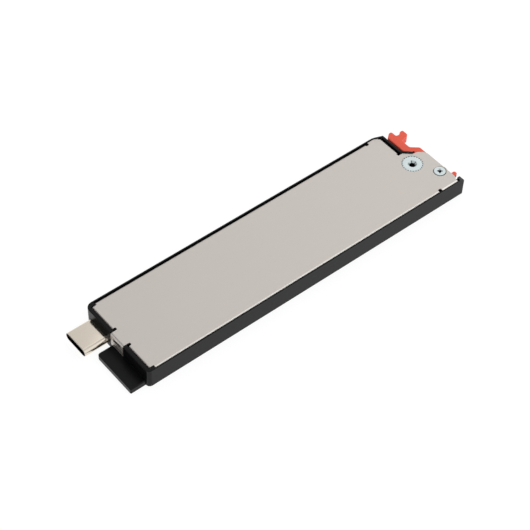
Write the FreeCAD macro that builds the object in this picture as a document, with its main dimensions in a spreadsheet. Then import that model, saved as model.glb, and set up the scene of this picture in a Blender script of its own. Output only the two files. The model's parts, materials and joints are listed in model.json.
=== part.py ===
import FreeCAD, Part

# Slim solid state drive canister: a moulded tray with a plug and a guide tongue at one end and
# a finger-pulled latch lever at the other, closed by a folded steel cover.
# Millimetres. +X runs from the plug to the latch, +Z up. The origin is the middle of the tray's
# underside, on which the canister rests.
import math
import os
from types import SimpleNamespace

import Sketcher
from FreeCAD import Vector

# Driving sizes. "right" is the -Y side and "left" the +Y side. "near" is the plug end.
SIZES = (
    ("tray_height", 5.9, "underside to the top of the side walls"),
    ("floor_thickness", 0.9, "tray floor"),
    ("side_wall", 1.4, "side wall below the cover's seat"),
    ("end_wall", 0.95, "wall at the plug end"),
    ("left_lip", 0.4, "left wall beside the cover"),
    ("right_lip", 0.3, "right wall beside the cover"),
    ("lip_depth", 1.9, "top of the wall down to the flange seat"),
    ("near_left_radius", 1.9, "outer left corner at the plug end"),
    ("near_right_radius", 1.15, "outer right corner at the plug end"),
    ("far_corner_radius", 0.15, "outer corner at the latch end"),
    ("rim_radius", 0.15, "rounding along the top of the walls"),
    ("recess_length", 6.65, "handle recess along the body"),
    ("recess_from_pivot", 5.3, "pivot to the side of the handle recess, across"),
    ("recess_wall", 1.1, "wall behind the handle"),
    ("recess_lip", 0.7, "top of the wall behind the handle"),
    ("slant_from_pivot", 1.4, "pivot to the slanted end's low corner, across"),
    ("guard_gap", 0.13, "cover's slanted edge to the guard wall"),
    ("guard_wall", 0.5, "guard wall that follows the slanted edge"),
    ("guard_end", 0.9, "slanted edge's elbow to the guard wall's end"),
    ("end_slope_length", 1.7, "right wall's sloping top at the latch end"),
    ("end_slope_drop", 0.9, "right wall's sloping top at the latch end"),
    ("end_lip_reach", 1.9, "right side to the edge of the wall's inward lip"),
    ("end_lip_width", 0.8, "inward lip of the right wall, along the body"),
    ("bevel_length", 2.95, "left corner bevel along the body"),
    ("bevel_width", 1.1, "left corner bevel across the body"),
    ("bevel_radius", 4.5, "shoulder where the bevel starts"),
    ("tongue_length", 4.5, "guide tongue beyond the end face"),
    ("tongue_plug_gap", 1.125, "guide tongue to the plug"),
    ("tongue_thickness", 1.6, "guide tongue height"),
    ("tongue_inset", 1.2, "right side to the tongue"),
    ("tongue_corner_radius", 0.8, "tongue's left corner"),
    ("tongue_small_radius", 0.3, "tongue's right corner"),
    ("tongue_chamfer", 0.25, "tongue's top edges"),
    ("cover_recess", 0.2, "cover below the top of the walls"),
    ("cover_thickness", 0.4, "cover sheet"),
    ("cover_gap", 0.3, "left lip to flange"),
    ("cover_end_gap", 0.2, "end wall to flange"),
    ("cover_bend_radius", 0.45, "outside of the cover's bends"),
    ("cover_far_gap", 1.5, "far edge of the cover to the latch end"),
    ("corner_notch_length", 1.45, "corner relief along the body"),
    ("corner_notch_width", 1.5, "left corner relief from the side face"),
    ("relief_length", 1.0, "bend relief beside the snap tab"),
    ("relief_width", 0.85, "bend relief beside the snap tab"),
    ("relief_radius", 0.3, "rounded end of a bend relief"),
    ("left_relief_from_end", 12.9, "left bend relief to the latch end"),
    ("right_relief_from_end", 8.75, "right bend relief to the latch end"),
    ("left_relief_length", 1.1, "left bend relief along the body"),
    ("left_relief_depth", 0.65, "left bend relief into the sheet"),
    ("right_relief_length", 1.1, "right bend relief along the body"),
    ("right_relief_depth", 0.9, "right bend relief into the sheet"),
    ("ear_gap", 0.1, "cover's ears and right flange to the wall"),
    ("left_ear_length", 2.2, "left ear along the body"),
    ("back_flange_gap", 0.1, "rear left flange to the wall behind the handle"),
    ("back_flange_inset", 0.05, "rear left flange from the recess's side"),
    ("back_relief_width", 0.85, "relief at the rear flange's end"),
    ("back_relief_length", 0.6, "relief at the rear flange's end"),
    ("slant_start_x", 0.5, "pivot to the slanted edge's near end"),
    ("slant_elbow_x", 2.5, "pivot to the slanted edge's elbow"),
    ("slant_elbow_y", 2.7, "pivot to the slanted edge's elbow"),
    ("slant_crest_x", 4.0, "pivot to the slanted edge's crest"),
    ("slant_crest_y", 2.45, "pivot to the slanted edge's crest"),
    ("slant_fall_x", 5.4, "pivot to where the slanted edge falls off"),
    ("slant_fall_y", 1.45, "pivot to where the slanted edge falls off"),
    ("slant_end_y", 0.3, "pivot to the slanted edge's far end"),
    ("slant_radius", 1.0, "roundings of the slanted edge"),
    ("far_corner_length", 0.65, "cover's far right corner along the body"),
    ("far_corner_step", 0.7, "cover's far right corner, its straight part across"),
    ("far_corner_width", 1.9, "cover's far right corner across the body"),
    ("tab_inset", 10.4, "right side to the snap tab"),
    ("tab_width", 5.1, "snap tab across"),
    ("tab_length", 4.2, "snap tab below the top of the cover"),
    ("tab_bend_radius", 0.55, "outside of the snap tab's bend"),
    ("tab_corner_radius", 0.4, "lower corners of the snap tab"),
    ("tab_clearance", 0.15, "tray pocket around the snap tab"),
    ("window_width", 3.0, "window in the snap tab"),
    ("window_height", 1.1, "window in the snap tab"),
    ("window_level", 3.7, "underside to the window"),
    ("catch_clearance", 0.15, "snap catch inside the window"),
    ("catch_relief", 0.3, "snap catch behind the end face"),
    ("plug_width", 8.25, "plug shell across"),
    ("plug_height", 2.4, "plug shell height"),
    ("plug_wall", 0.3, "plug shell sheet"),
    ("plug_reach", 7.17, "plug beyond the end face"),
    ("plug_tail", 3.2, "plug shell behind the end face"),
    ("plug_offset", 20.35, "right side to the middle of the plug"),
    ("plug_level", 1.95, "underside to the middle of the plug"),
    ("plug_clearance", 0.1, "plug aperture around the shell"),
    ("plug_rim_chamfer", 0.22, "bevelled outer edge of the mouth"),
    ("plug_inner_chamfer", 0.06, "bevelled inner edge of the mouth"),
    ("insulator_gap", 0.02, "insulator inside the shell"),
    ("insulator_setback", 0.65, "insulator behind the mouth"),
    ("slot_width", 6.7, "plug slot across"),
    ("slot_depth", 5.4, "plug slot depth"),
    ("contact_pitch", 0.5, "plug contacts"),
    ("contact_width", 0.25, "plug contacts"),
    ("contact_thickness", 0.1, "plug contacts"),
    ("contact_count", 12, "plug contacts in a row"),
    ("contact_setback", 1.2, "contacts behind the mouth"),
    ("solder_length", 1.2, "contact tails on the board"),
    ("board_thickness", 0.8, "both circuit boards"),
    ("board_width", 22.0, "both circuit boards"),
    ("board_side_gap", 0.8, "circuit boards to the side walls"),
    ("board_start", 3.5, "end face to the adapter board"),
    ("board_length", 11.6, "adapter board"),
    ("board_corner_radius", 0.6, "circuit board corners"),
    ("peg_radius", 0.6, "moulded board pegs"),
    ("peg_clearance", 0.1, "board hole around a peg"),
    ("peg_inset", 1.3, "peg from the board's edges"),
    ("peg_offset", 2.6, "second peg right of the middle"),
    ("peg_height", 0.4, "peg above the board"),
    ("seat_rib_width", 1.2, "ribs under the adapter board"),
    ("chip_start", 5.0, "end face to the bridge chip"),
    ("bridge_size", 4.0, "bridge chip"),
    ("bridge_height", 0.85, "bridge chip"),
    ("bridge_offset", 3.4, "bridge chip left of the middle"),
    ("inductor_size", 2.6, "power inductor"),
    ("inductor_height", 1.3, "power inductor"),
    ("inductor_offset", 5.2, "power inductor right of the middle"),
    ("crystal_length", 2.5, "crystal can"),
    ("crystal_width", 2.0, "crystal can"),
    ("crystal_height", 0.6, "crystal can"),
    ("crystal_offset", 0.6, "crystal right of the middle"),
    ("capacitor_length", 1.0, "ceramic capacitors"),
    ("capacitor_width", 0.5, "ceramic capacitors"),
    ("capacitor_height", 0.5, "ceramic capacitors"),
    ("capacitor_pitch", 1.2, "ceramic capacitors"),
    ("capacitor_count", 5, "ceramic capacitors in a row"),
    ("socket_start", 9.2, "end face to the edge socket"),
    ("socket_depth", 5.8, "edge socket along the body"),
    ("socket_height", 2.6, "edge socket above its board"),
    ("socket_side_wall", 0.6, "edge socket beyond the drive board"),
    ("socket_clearance", 0.05, "socket slot around the drive board"),
    ("edge_insertion", 3.4, "drive board inside the socket"),
    ("key_width", 1.2, "key notch of the card edge"),
    ("key_depth", 3.5, "key notch of the card edge"),
    ("key_offset", 6.1, "key notch right of the middle"),
    ("finger_width", 0.35, "gold edge fingers"),
    ("finger_length", 2.4, "gold edge fingers"),
    ("finger_thickness", 0.04, "gold edge fingers"),
    ("finger_count", 28, "gold edge fingers left of the key"),
    ("finger_lead", 0.3, "card edge to the fingers"),
    ("spring_contact_thickness", 0.12, "socket contacts"),
    ("drive_length", 80.0, "drive board, card edge to screw"),
    ("drive_clearance", 0.75, "adapter board top to drive board underside"),
    ("chip_height", 0.95, "memory and controller packages"),
    ("controller_size", 11.0, "controller package"),
    ("controller_from_edge", 12.0, "card edge to the controller"),
    ("memory_length", 18.0, "memory package along the body"),
    ("memory_width", 14.0, "memory package across"),
    ("memory_start", 30.0, "card edge to the first memory package"),
    ("memory_pitch", 21.0, "first to second memory package"),
    ("cache_length", 4.6, "cache package along the body"),
    ("cache_width", 8.0, "cache package across"),
    ("cache_from_edge", 24.2, "card edge to the cache package"),
    ("power_chip_size", 3.0, "power chip"),
    ("power_chip_height", 0.8, "power chip"),
    ("power_chip_from_edge", 6.2, "card edge to the power chip"),
    ("power_chip_offset", 6.5, "power chip right of the middle"),
    ("drive_capacitor_start", 7.0, "card edge to the capacitor row"),
    ("pad_margin", 1.5, "thermal pad past the packages that it covers"),
    ("pad_width", 18.0, "thermal pad"),
    ("film_thickness", 0.1, "insulating film"),
    ("film_start", 16.5, "end face to the film"),
    ("film_end_gap", 2.8, "insulating film to the standoff"),
    ("film_width", 20.0, "insulating film"),
    ("screw_notch_radius", 1.75, "half round notch at the board's end"),
    ("standoff_radius", 2.3, "brass standoff"),
    ("standoff_bore", 0.8, "threads of the standoff"),
    ("standoff_sink", 0.4, "foot of the standoff in the floor"),
    ("insert_gap", 0.02, "metal inserts in their bosses"),
    ("module_screw_head_radius", 2.3, "module screw"),
    ("module_screw_head_height", 0.55, "module screw"),
    ("module_screw_length", 1.8, "module screw below the board's top"),
    ("thread_gap", 0.03, "screw inside its threads"),
    ("drive_slot_width", 0.3, "cross recess arms"),
    ("drive_slot_depth", 0.35, "cross recess depth"),
    ("guide_rib_width", 1.0, "guide ribs on the side walls"),
    ("guide_rib_gap", 0.1, "guide rib to the drive board"),
    ("guide_rib_start", 25.0, "end face to the first guide rib"),
    ("guide_rib_pitch", 25.0, "guide ribs"),
    ("guide_rib_count", 3, "guide ribs on a side"),
    ("stop_rib_from_end", 12.5, "cross ribs to the latch end"),
    ("stop_rib_width", 1.0, "cross ribs along the body"),
    ("left_rib_reach", 9.6, "left cross rib from the left side"),
    ("right_rib_reach", 6.6, "right cross rib from the right side"),
    ("pivot_from_end", 7.4, "pivot to the latch end"),
    ("pivot_from_side", 12.6, "pivot to the right side"),
    ("hub_clearance", 0.5, "module screw's head to the lever's hub"),
    ("pivot_pad_radius", 3.0, "raised pad under the lever"),
    ("pivot_pad_height", 0.15, "raised pad under the lever"),
    ("pivot_spigot_radius", 1.0, "foot of the pivot post"),
    ("pivot_spigot_depth", 0.4, "foot of the pivot post below the pad"),
    ("post_radius", 1.5, "shank of the pivot post"),
    ("post_head_radius", 2.92, "clinched head of the pivot post"),
    ("post_disc_radius", 2.62, "head inside the knurled ring"),
    ("post_groove_depth", 0.12, "grooves between the knurls"),
    ("post_collar_radius", 2.0, "shoulder under the cover"),
    ("post_collar_height", 0.05, "shoulder under the cover"),
    ("knurl_count", 24, "knurls around the head"),
    ("knurl_width", 0.26, "groove between two knurls"),
    ("clinch_gap", 0.02, "head in the cover's hole"),
    ("dish_radius", 1.3, "countersink in the post's head"),
    ("dish_depth", 0.55, "countersink in the post's head"),
    ("post_hole_radius", 0.85, "blind hole in the post"),
    ("post_hole_depth", 2.8, "blind hole in the post"),
    ("lever_floor_gap", 0.05, "lever above its pad"),
    ("lever_height", 3.9, "latch lever"),
    ("running_gap", 0.05, "lever bore around the post"),
    ("hub_radius", 3.1, "lever hub"),
    ("spring_pocket_inner", 1.95, "annular pocket in the hub"),
    ("spring_pocket_outer", 2.7, "annular pocket in the hub"),
    ("spring_pocket_depth", 1.9, "annular pocket in the hub"),
    ("washer_radius", 2.6, "washer over the hub"),
    ("washer_thickness", 0.2, "washer over the hub"),
    ("washer_gap", 0.05, "washer above the hub"),
    ("hook_reach", 7.75, "pivot to the hook's outer face, along the body"),
    ("hook_drop", 9.6, "pivot to the hook's lower corner, across"),
    ("hook_width", 1.2, "hook across"),
    ("hook_length", 1.1, "hook along the body"),
    ("hook_thickness", 1.3, "hook's tip below the lever's top"),
    ("hook_throat", 2.0, "hook tip to the arm"),
    ("arm_clearance", 0.2, "lower arm to the cover screw's boss"),
    ("arm_width", 1.3, "lower arm"),
    ("shank_half_width", 1.8, "upright part of the lever below the hub"),
    ("shank_corner", 1.5, "bevel at the foot of the upright part"),
    ("web_low", 3.3, "foot of the upper arm below the pivot"),
    ("elbow_reach", 6.42, "pivot to the elbow's outer face"),
    ("elbow_neck", 1.0, "elbow's lower bevel along the body"),
    ("elbow_neck_low", 1.5, "elbow's lower bevel below the pivot"),
    ("elbow_low", 0.4, "start of the elbow's outer face"),
    ("elbow_high", 3.85, "end of the elbow's outer face"),
    ("bar_inner", 1.75, "pivot to the handle bar's inner face"),
    ("bar_width", 2.5, "handle bar"),
    ("bar_start_inner", 5.3, "handle bar's inner face starts"),
    ("bar_start_outer", 5.65, "handle bar's outer face starts"),
    ("neck_inner_x", 3.9, "inner edge between bar and hub"),
    ("neck_inner_y", 3.25, "inner edge between bar and hub"),
    ("neck_root_x", 3.8, "inner edge where it meets the hub"),
    ("neck_root_y", 1.8, "inner edge where it meets the hub"),
    ("head_start", 8.8, "handle bar's outer face ends"),
    ("prong_reach", 7.1, "pivot to the outer prong's tip"),
    ("prong_low", 9.5, "outer prong's lower corner"),
    ("prong_high", 11.65, "outer prong's upper corner"),
    ("prong_shoulder_x", 6.15, "outer prong's inner shoulder"),
    ("prong_shoulder_y", 11.6, "outer prong's inner shoulder"),
    ("prong_foot_x", 5.3, "foot of the outer prong"),
    ("valley_x", 4.25, "bottom of the fishtail's valley"),
    ("valley_y", 11.0, "bottom of the fishtail's valley"),
    ("hump_right", 4.2, "inner prong's outer corner"),
    ("hump_left", 3.3, "inner prong's inner corner"),
    ("hump_high", 13.0, "inner prong's top"),
    ("hump_base", 11.75, "inner prong's inner shoulder"),
    ("lever_large_radius", 1.0, "broad roundings of the lever"),
    ("lever_middle_radius", 0.7, "middle roundings of the lever"),
    ("lever_small_radius", 0.5, "tight roundings of the lever"),
    ("lever_edge_chamfer", 0.15, "top edges of the lever"),
    ("handle_rise", 1.1, "handle's underside above the lever's"),
    ("spring_radius", 2.3, "coil of the return spring, middle of the wire"),
    ("spring_wire", 0.3, "wire of the return spring"),
    ("spring_turns", 2, "turns of the return spring"),
    ("spring_pitch", 0.45, "rise of the spring in one turn"),
    ("spring_floor_gap", 0.1, "spring above the floor of its pocket"),
    ("spring_tray_leg", 4.2, "leg that bears on the tray's peg"),
    ("spring_lever_leg", 3.4, "leg that bears on the lever"),
    ("spring_leg_gap", 0.1, "room around the spring's legs"),
    ("spring_swing", 1.0, "window beside the leg that stays still"),
    ("spring_peg_radius", 0.4, "tray peg of the return spring"),
    ("spring_peg_from_pivot", 3.8, "tray peg of the return spring"),
    ("screw_from_end", 3.4, "cover screw to the latch end"),
    ("screw_from_side", 6.1, "cover screw to the right side"),
    ("screw_boss_radius", 1.7, "boss of the cover screw"),
    ("screw_head_radius", 1.6, "countersunk head"),
    ("screw_head_rim", 0.1, "straight edge of the countersunk head"),
    ("screw_shank_radius", 0.75, "cover screw"),
    ("screw_length", 3.0, "cover screw"),
    ("dimple_gap", 0.28, "head to the dimple's edge"),
    ("dimple_hole_radius", 1.0, "hole at the bottom of the dimple"),
    ("dimple_sheet", 0.3, "sheet in the stretched dimple, along Z"),
    ("insert_radius", 1.2, "threaded insert"),
    ("insert_length", 2.2, "threaded insert"),
    ("cross_width", 0.42, "arms of the cover screw's cross recess"),
    ("cross_length", 1.65, "cover screw's cross recess, tip to tip"),
    ("cross_depth", 0.65, "cover screw's cross recess"),
    ("cross_well_radius", 0.52, "middle of the cross recess"),
    ("cross_well_depth", 0.3, "middle of the cross recess, below its arms"),
    ("beyond", 1.0, "how far a cut runs past the surface that it opens"),
)

# Degrees by which the cover screw's recess is turned from +X.
CROSS_TURN = 50

# Sides of the spring wire, which is drawn as a prism.
WIRE_SIDES = 8


class Size:
    """A length with both its number and the sheet formula that it comes from."""

    def __init__(self, value, formula):
        self.value = float(value)
        self.formula = formula

    def joined(self, other, sign, value, swapped=False):
        text = other.formula if isinstance(other, Size) else repr(other)
        first, second = (text, self.formula) if swapped else (self.formula, text)
        return Size(value, f"({first} {sign} {second})")

    def __add__(self, other):
        return self.joined(other, "+", self.value + number(other))

    def __radd__(self, other):
        return self.joined(other, "+", number(other) + self.value, swapped=True)

    def __sub__(self, other):
        return self.joined(other, "-", self.value - number(other))

    def __rsub__(self, other):
        return self.joined(other, "-", number(other) - self.value, swapped=True)

    def __mul__(self, other):
        return self.joined(other, "*", self.value * number(other))

    def __truediv__(self, other):
        return self.joined(other, "/", self.value / number(other))

    def __neg__(self):
        return Size(-self.value, f"(0 - {self.formula})")


def number(item):
    """The plain number behind a size, or the number itself."""
    return item.value if isinstance(item, Size) else float(item)


def bind(item, name, size):
    """Drive one property by a sheet formula, or set it when it is a plain number."""
    if isinstance(size, Size):
        item.setExpression(name, size.formula)
    else:
        item.setExpression(name, repr(float(size)))


def write_sheet(document):
    """Put every driving size into the sheet and return them by name."""
    sheet = document.addObject("Spreadsheet::Sheet", "Sizes")
    names = {}
    for row, (alias, value, meaning) in enumerate(SIZES, start=1):
        sheet.set(f"A{row}", alias)
        sheet.set(f"B{row}", str(value))
        sheet.set(f"C{row}", meaning)
        sheet.setAlias(f"B{row}", alias)
        names[alias] = Size(value, f"Sizes.{alias}")
    document.recompute()
    return SimpleNamespace(**names)


def add_places(s):
    """Add the planes and centres that several pieces share, worked out from the sizes."""
    to_module = s.socket_start + s.socket_depth - s.edge_insertion + s.drive_length
    hub_room = s.module_screw_head_radius + s.hub_clearance + s.hub_radius
    s.tray_length = to_module + hub_room + s.pivot_from_end
    s.tray_width = s.board_width + (s.board_side_gap + s.side_wall) * 2
    s.near = -s.tray_length / 2
    s.far = s.tray_length / 2
    s.right = -s.tray_width / 2
    s.left = s.tray_width / 2
    s.middle = s.right + s.tray_width / 2
    s.rim = s.tray_height + 0
    s.ledge = s.rim - s.lip_depth
    s.cover_top = s.rim - s.cover_recess
    s.cover_under = s.cover_top - s.cover_thickness
    s.recess_x = s.far - s.recess_length
    s.recess_inner = s.recess_x - s.recess_wall
    s.tab_right = s.right + s.tab_inset
    s.tab_left = s.tab_right + s.tab_width
    s.tab_bottom = s.cover_top - s.tab_length
    s.window_right = s.tab_right + (s.tab_width - s.window_width) / 2
    s.window_left = s.window_right + s.window_width
    s.plug_y = s.right + s.plug_offset
    s.board_under = s.plug_level - s.board_thickness / 2
    s.board_top = s.plug_level + s.board_thickness / 2
    s.board_near = s.near + s.board_start
    s.board_far = s.board_near + s.board_length
    s.board_right = s.middle - s.board_width / 2
    s.board_left = s.middle + s.board_width / 2
    s.socket_near = s.near + s.socket_start
    s.socket_mouth = s.socket_near + s.socket_depth
    s.edge_x = s.socket_mouth - s.edge_insertion
    s.drive_under = s.board_top + s.drive_clearance
    s.drive_top = s.drive_under + s.board_thickness
    s.chip_top = s.drive_top + s.chip_height
    s.module_x = s.edge_x + s.drive_length
    s.pivot_x = s.far - s.pivot_from_end
    s.pivot_y = s.right + s.pivot_from_side
    s.recess_y = s.pivot_y + s.recess_from_pivot
    s.pad_top = s.floor_thickness + s.pivot_pad_height
    s.lever_bottom = s.pad_top + s.lever_floor_gap
    s.lever_top = s.lever_bottom + s.lever_height
    s.pocket_floor = s.lever_top - s.spring_pocket_depth
    s.spring_low = s.pocket_floor + s.spring_floor_gap + s.spring_wire / 2
    s.spring_high = s.spring_low + s.spring_pitch * s.spring_turns
    s.screw_x = s.far - s.screw_from_end
    s.screw_y = s.right + s.screw_from_side
    s.dimple_radius = s.screw_head_radius + s.dimple_gap
    s.dimple_bottom = s.cover_top - (s.dimple_radius - s.dimple_hole_radius)
    s.dimple_under = s.dimple_bottom - s.dimple_sheet
    s.ear_left = s.left - s.left_lip - s.ear_gap
    s.ear_right = s.right + s.right_lip + s.ear_gap
    s.flange_left = s.left - s.left_lip - s.cover_gap
    s.flange_near = s.near + s.end_wall + s.cover_end_gap
    s.flange_back = s.recess_inner - s.back_flange_gap
    s.cover_far = s.far - s.cover_far_gap
    s.left_relief_x = s.far - s.left_relief_from_end
    s.right_relief_x = s.far - s.right_relief_from_end
    s.left_ear_x = s.left_relief_x + s.left_relief_length
    s.right_ear_x = s.right_relief_x + s.right_relief_length
    s.left_relief_y = s.flange_left - s.left_relief_depth
    s.right_relief_y = s.ear_right + s.right_relief_depth
    s.notch_x = s.flange_near + s.corner_notch_length
    s.notch_right = s.right + s.side_wall - s.ear_gap
    s.notch_left = s.left - s.corner_notch_width
    s.back_flange_high = s.left - s.corner_notch_width
    s.back_flange_low = s.recess_y + s.back_flange_inset
    s.back_relief_x = s.flange_back - s.back_relief_length
    s.slant_high = s.back_flange_low - s.back_relief_width
    s.relief_end = s.flange_near + s.relief_length
    return s


class Piece:
    """One physical piece: a body built feature by feature, every feature bound to the sheet."""

    def __init__(self, document, label, several=False):
        self.document = document
        self.label = label
        self.body = document.addObject("PartDesign::Body", label)
        self.body.Label = label
        self.body.AllowCompound = several
        self.steps = 0

    def fresh_name(self, what):
        self.steps += 1
        return f"{self.label}_{self.steps}_{what}"

    def sketch(self, plane, level, shift_x=None):
        """An empty sketch on the body's own origin plane, moved along the plane's normal."""
        drawing = self.body.newObject("Sketcher::SketchObject", self.fresh_name("sketch"))
        role = f"{plane}_Plane"
        support = [item for item in self.body.Origin.OriginFeatures if item.Role == role][0]
        drawing.AttachmentSupport = (support, [""])
        drawing.MapMode = "FlatFace"
        bind(drawing, "AttachmentOffset.Base.z", -level if plane == "XZ" else level)
        if shift_x is not None:
            bind(drawing, "AttachmentOffset.Base.x", shift_x)
        return drawing

    def dimension(self, drawing, kind, *where_and_size):
        """Add one dimension to a sketch and bind it to its size."""
        *where, size = where_and_size
        index = drawing.addConstraint(Sketcher.Constraint(kind, *where, number(size)))
        bind(drawing, f"Constraints[{index}]", size)

    def polygon(self, points, level, plane="XY", shift_x=None):
        """A closed outline of straight sides through the given points."""
        drawing = self.sketch(plane, level, shift_x)
        spots = [Vector(number(u), number(v), 0) for u, v in points]
        for start, end in zip(spots, spots[1:] + spots[:1]):
            drawing.addGeometry(Part.LineSegment(start, end), False)
        count = len(points)
        for side in range(count):
            joint = Sketcher.Constraint("Coincident", side, 2, (side + 1) % count, 1)
            drawing.addConstraint(joint)
        for side, (u, v) in enumerate(points):
            self.dimension(drawing, "DistanceX", -1, 1, side, 1, u)
            self.dimension(drawing, "DistanceY", -1, 1, side, 1, v)
        return drawing

    def rectangle(self, u0, u1, v0, v1, level, plane="XY"):
        return self.polygon([(u0, v0), (u1, v0), (u1, v1), (u0, v1)], level, plane)

    def circles(self, u, v, radii, level, plane="XY"):
        """One circle, or two for a ring, around the same centre."""
        drawing = self.sketch(plane, level)
        centre = Vector(number(u), number(v), 0)
        for index, radius in enumerate(radii):
            circle = Part.Circle(centre, Vector(0, 0, 1), number(radius))
            drawing.addGeometry(circle, False)
            self.dimension(drawing, "DistanceX", -1, 1, index, 3, u)
            self.dimension(drawing, "DistanceY", -1, 1, index, 3, v)
            self.dimension(drawing, "Radius", index, radius)
        return drawing

    def stadium(self, drawing, u, v, half_length, radius):
        """Two lines joined by half circles, added to a sketch around a centre."""
        first = drawing.GeometryCount
        cu, cv, half, r = number(u), number(v), number(half_length), number(radius)
        up, turn = Vector(0, 0, 1), math.pi / 2
        ends = [Vector(cu - half, cv, 0), Vector(cu + half, cv, 0)]
        low = Part.LineSegment(ends[0] - Vector(0, r, 0), ends[1] - Vector(0, r, 0))
        high = Part.LineSegment(ends[1] + Vector(0, r, 0), ends[0] + Vector(0, r, 0))
        drawing.addGeometry(low, False)
        drawing.addGeometry(Part.ArcOfCircle(Part.Circle(ends[1], up, r), -turn, turn), False)
        drawing.addGeometry(high, False)
        drawing.addGeometry(Part.ArcOfCircle(Part.Circle(ends[0], up, r), turn, 3 * turn), False)
        for side in range(4):
            joint = Sketcher.Constraint("Tangent", first + side, 2, first + (side + 1) % 4, 1)
            drawing.addConstraint(joint)
        for arc, centre in ((first + 1, u + half_length), (first + 3, u - half_length)):
            self.dimension(drawing, "DistanceX", -1, 1, arc, 3, centre)
            self.dimension(drawing, "DistanceY", -1, 1, arc, 3, v)
            self.dimension(drawing, "Radius", arc, radius)
        return drawing

    def pad(self, drawing, length):
        """Grow a sketch along its plane's normal."""
        grown = self.body.newObject("PartDesign::Pad", self.fresh_name("pad"))
        grown.Profile = drawing
        bind(grown, "Length", length)
        return grown

    def cut(self, drawing, length):
        """Cut a sketch along its plane's normal, and make sure that it took something away."""
        self.document.recompute()
        before = self.body.Shape.Volume
        pocket = self.body.newObject("PartDesign::Pocket", self.fresh_name("pocket"))
        pocket.Profile = drawing
        pocket.Reversed = True
        bind(pocket, "Length", length)
        self.document.recompute()
        if self.body.Shape.Volume >= before:
            raise RuntimeError(f"{pocket.Name} cuts nothing")
        return pocket

    def block(self, x0, x1, y0, y1, z0, z1):
        return self.pad(self.rectangle(x0, x1, y0, y1, z0), z1 - z0)

    def cut_block(self, x0, x1, y0, y1, z0, z1):
        return self.cut(self.rectangle(x0, x1, y0, y1, z0), z1 - z0)

    def cylinder(self, x, y, radius, z0, z1):
        return self.pad(self.circles(x, y, [radius], z0), z1 - z0)

    def ring(self, x, y, outer, inner, z0, z1):
        return self.pad(self.circles(x, y, [outer, inner], z0), z1 - z0)

    def bore(self, x, y, radius, z0, z1):
        return self.cut(self.circles(x, y, [radius], z0), z1 - z0)

    def turned(self, points, x, y, groove=False):
        """Turn a profile of (radius, height) points about an upright axis."""
        drawing = self.polygon(points, y, "XZ", shift_x=x)
        kind = "PartDesign::Groove" if groove else "PartDesign::Revolution"
        feature = self.body.newObject(kind, self.fresh_name("turned"))
        feature.Profile = drawing
        feature.ReferenceAxis = (drawing, ["V_Axis"])
        feature.Angle = 360
        return feature

    def edges(self, wanted):
        """Names of the edges of the shape so far for which the test holds."""
        self.document.recompute()
        found = []
        for index, edge in enumerate(self.body.Shape.Edges, start=1):
            if wanted(edge):
                found.append(f"Edge{index}")
        if not found:
            raise RuntimeError(f"{self.label}: no edge matches")
        return found

    def finish_edges(self, names, size, chamfer=False):
        """Round or bevel the named edges of the shape so far."""
        kind = "Chamfer" if chamfer else "Fillet"
        base = self.body.Tip
        feature = self.body.newObject(f"PartDesign::{kind}", self.fresh_name(kind.lower()))
        feature.Base = (base, names)
        bind(feature, "Size" if chamfer else "Radius", size)
        self.document.recompute()
        if "Invalid" in feature.State:
            raise RuntimeError(f"{feature.Name} can't be made")
        return feature

    def round_corners(self, spots, radius):
        """Round the upright edges that stand on the given (x, y) spots."""
        places = [(number(x), number(y)) for x, y in spots]
        self.finish_edges(self.edges(lambda edge: stands_on(edge, places)), radius)

    def repeat(self, features, axis, length, count):
        """Repeat features along an axis of the body."""
        pattern = self.body.newObject("PartDesign::LinearPattern", self.fresh_name("row"))
        pattern.Originals = features
        support = [item for item in self.body.Origin.OriginFeatures if item.Role == axis][0]
        pattern.Direction = (support, [""])
        bind(pattern, "Length", length)
        bind(pattern, "Occurrences", count)
        self.body.Tip = pattern
        return pattern


NEAR_ENOUGH = 1e-4


def ends(edge):
    return [vertex.Point for vertex in edge.Vertexes]


def stands_on(edge, places):
    """Whether an edge runs straight up over one of the places."""
    points = ends(edge)
    if len(points) < 2:
        return False
    for x, y in places:
        if all(abs(p.x - x) < NEAR_ENOUGH and abs(p.y - y) < NEAR_ENOUGH for p in points):
            return True
    return False


def at_level(edge, z):
    """Whether an edge lies wholly at one height."""
    box = edge.BoundBox
    return abs(box.ZMin - number(z)) < NEAR_ENOUGH and abs(box.ZMax - number(z)) < NEAR_ENOUGH


def lies_on(edge, x=None, y=None, z=None):
    """Whether both ends of an edge lie on all the planes given."""
    for point in ends(edge):
        for have, want in ((point.x, x), (point.y, y), (point.z, z)):
            if want is not None and abs(have - number(want)) > NEAR_ENOUGH:
                return False
    return True


def build_tray(document, s):
    """Moulded tray: floor, walls, rabbet for the cover, tongue, ribs, bosses and snap catch."""
    tray = Piece(document, "tray")
    bevel_x = s.recess_x - s.bevel_length
    bevel_y = s.left - s.bevel_width
    slant_end = s.pivot_y + s.slant_from_pivot
    outline = [
        (s.near, s.right),
        (s.far, s.right),
        (s.far, slant_end),
        (s.recess_x, s.recess_y),
        (s.recess_x, bevel_y),
        (bevel_x, s.left),
        (s.near, s.left),
    ]
    tray.pad(tray.polygon(outline, 0), s.rim)
    tray.round_corners([(s.near, s.left)], s.near_left_radius)
    tray.round_corners([(s.near, s.right)], s.near_right_radius)
    tray.round_corners([(s.far, s.right), (s.recess_x, bevel_y)], s.far_corner_radius)
    tray.round_corners([(bevel_x, s.left)], s.bevel_radius)
    rim_edges = tray.edges(lambda edge: at_level(edge, s.rim))
    tray.finish_edges(rim_edges, s.rim_radius)
    hollow_tray(tray, s, bevel_x)
    cut_cover_seat(tray, s, bevel_x)
    cut_plug_end(tray, s)
    add_tongue(tray, s)
    add_board_seats(tray, s)
    shape_right_end(tray, s)
    add_guard(tray, s)
    add_latch_bay(tray, s)
    return tray


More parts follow.
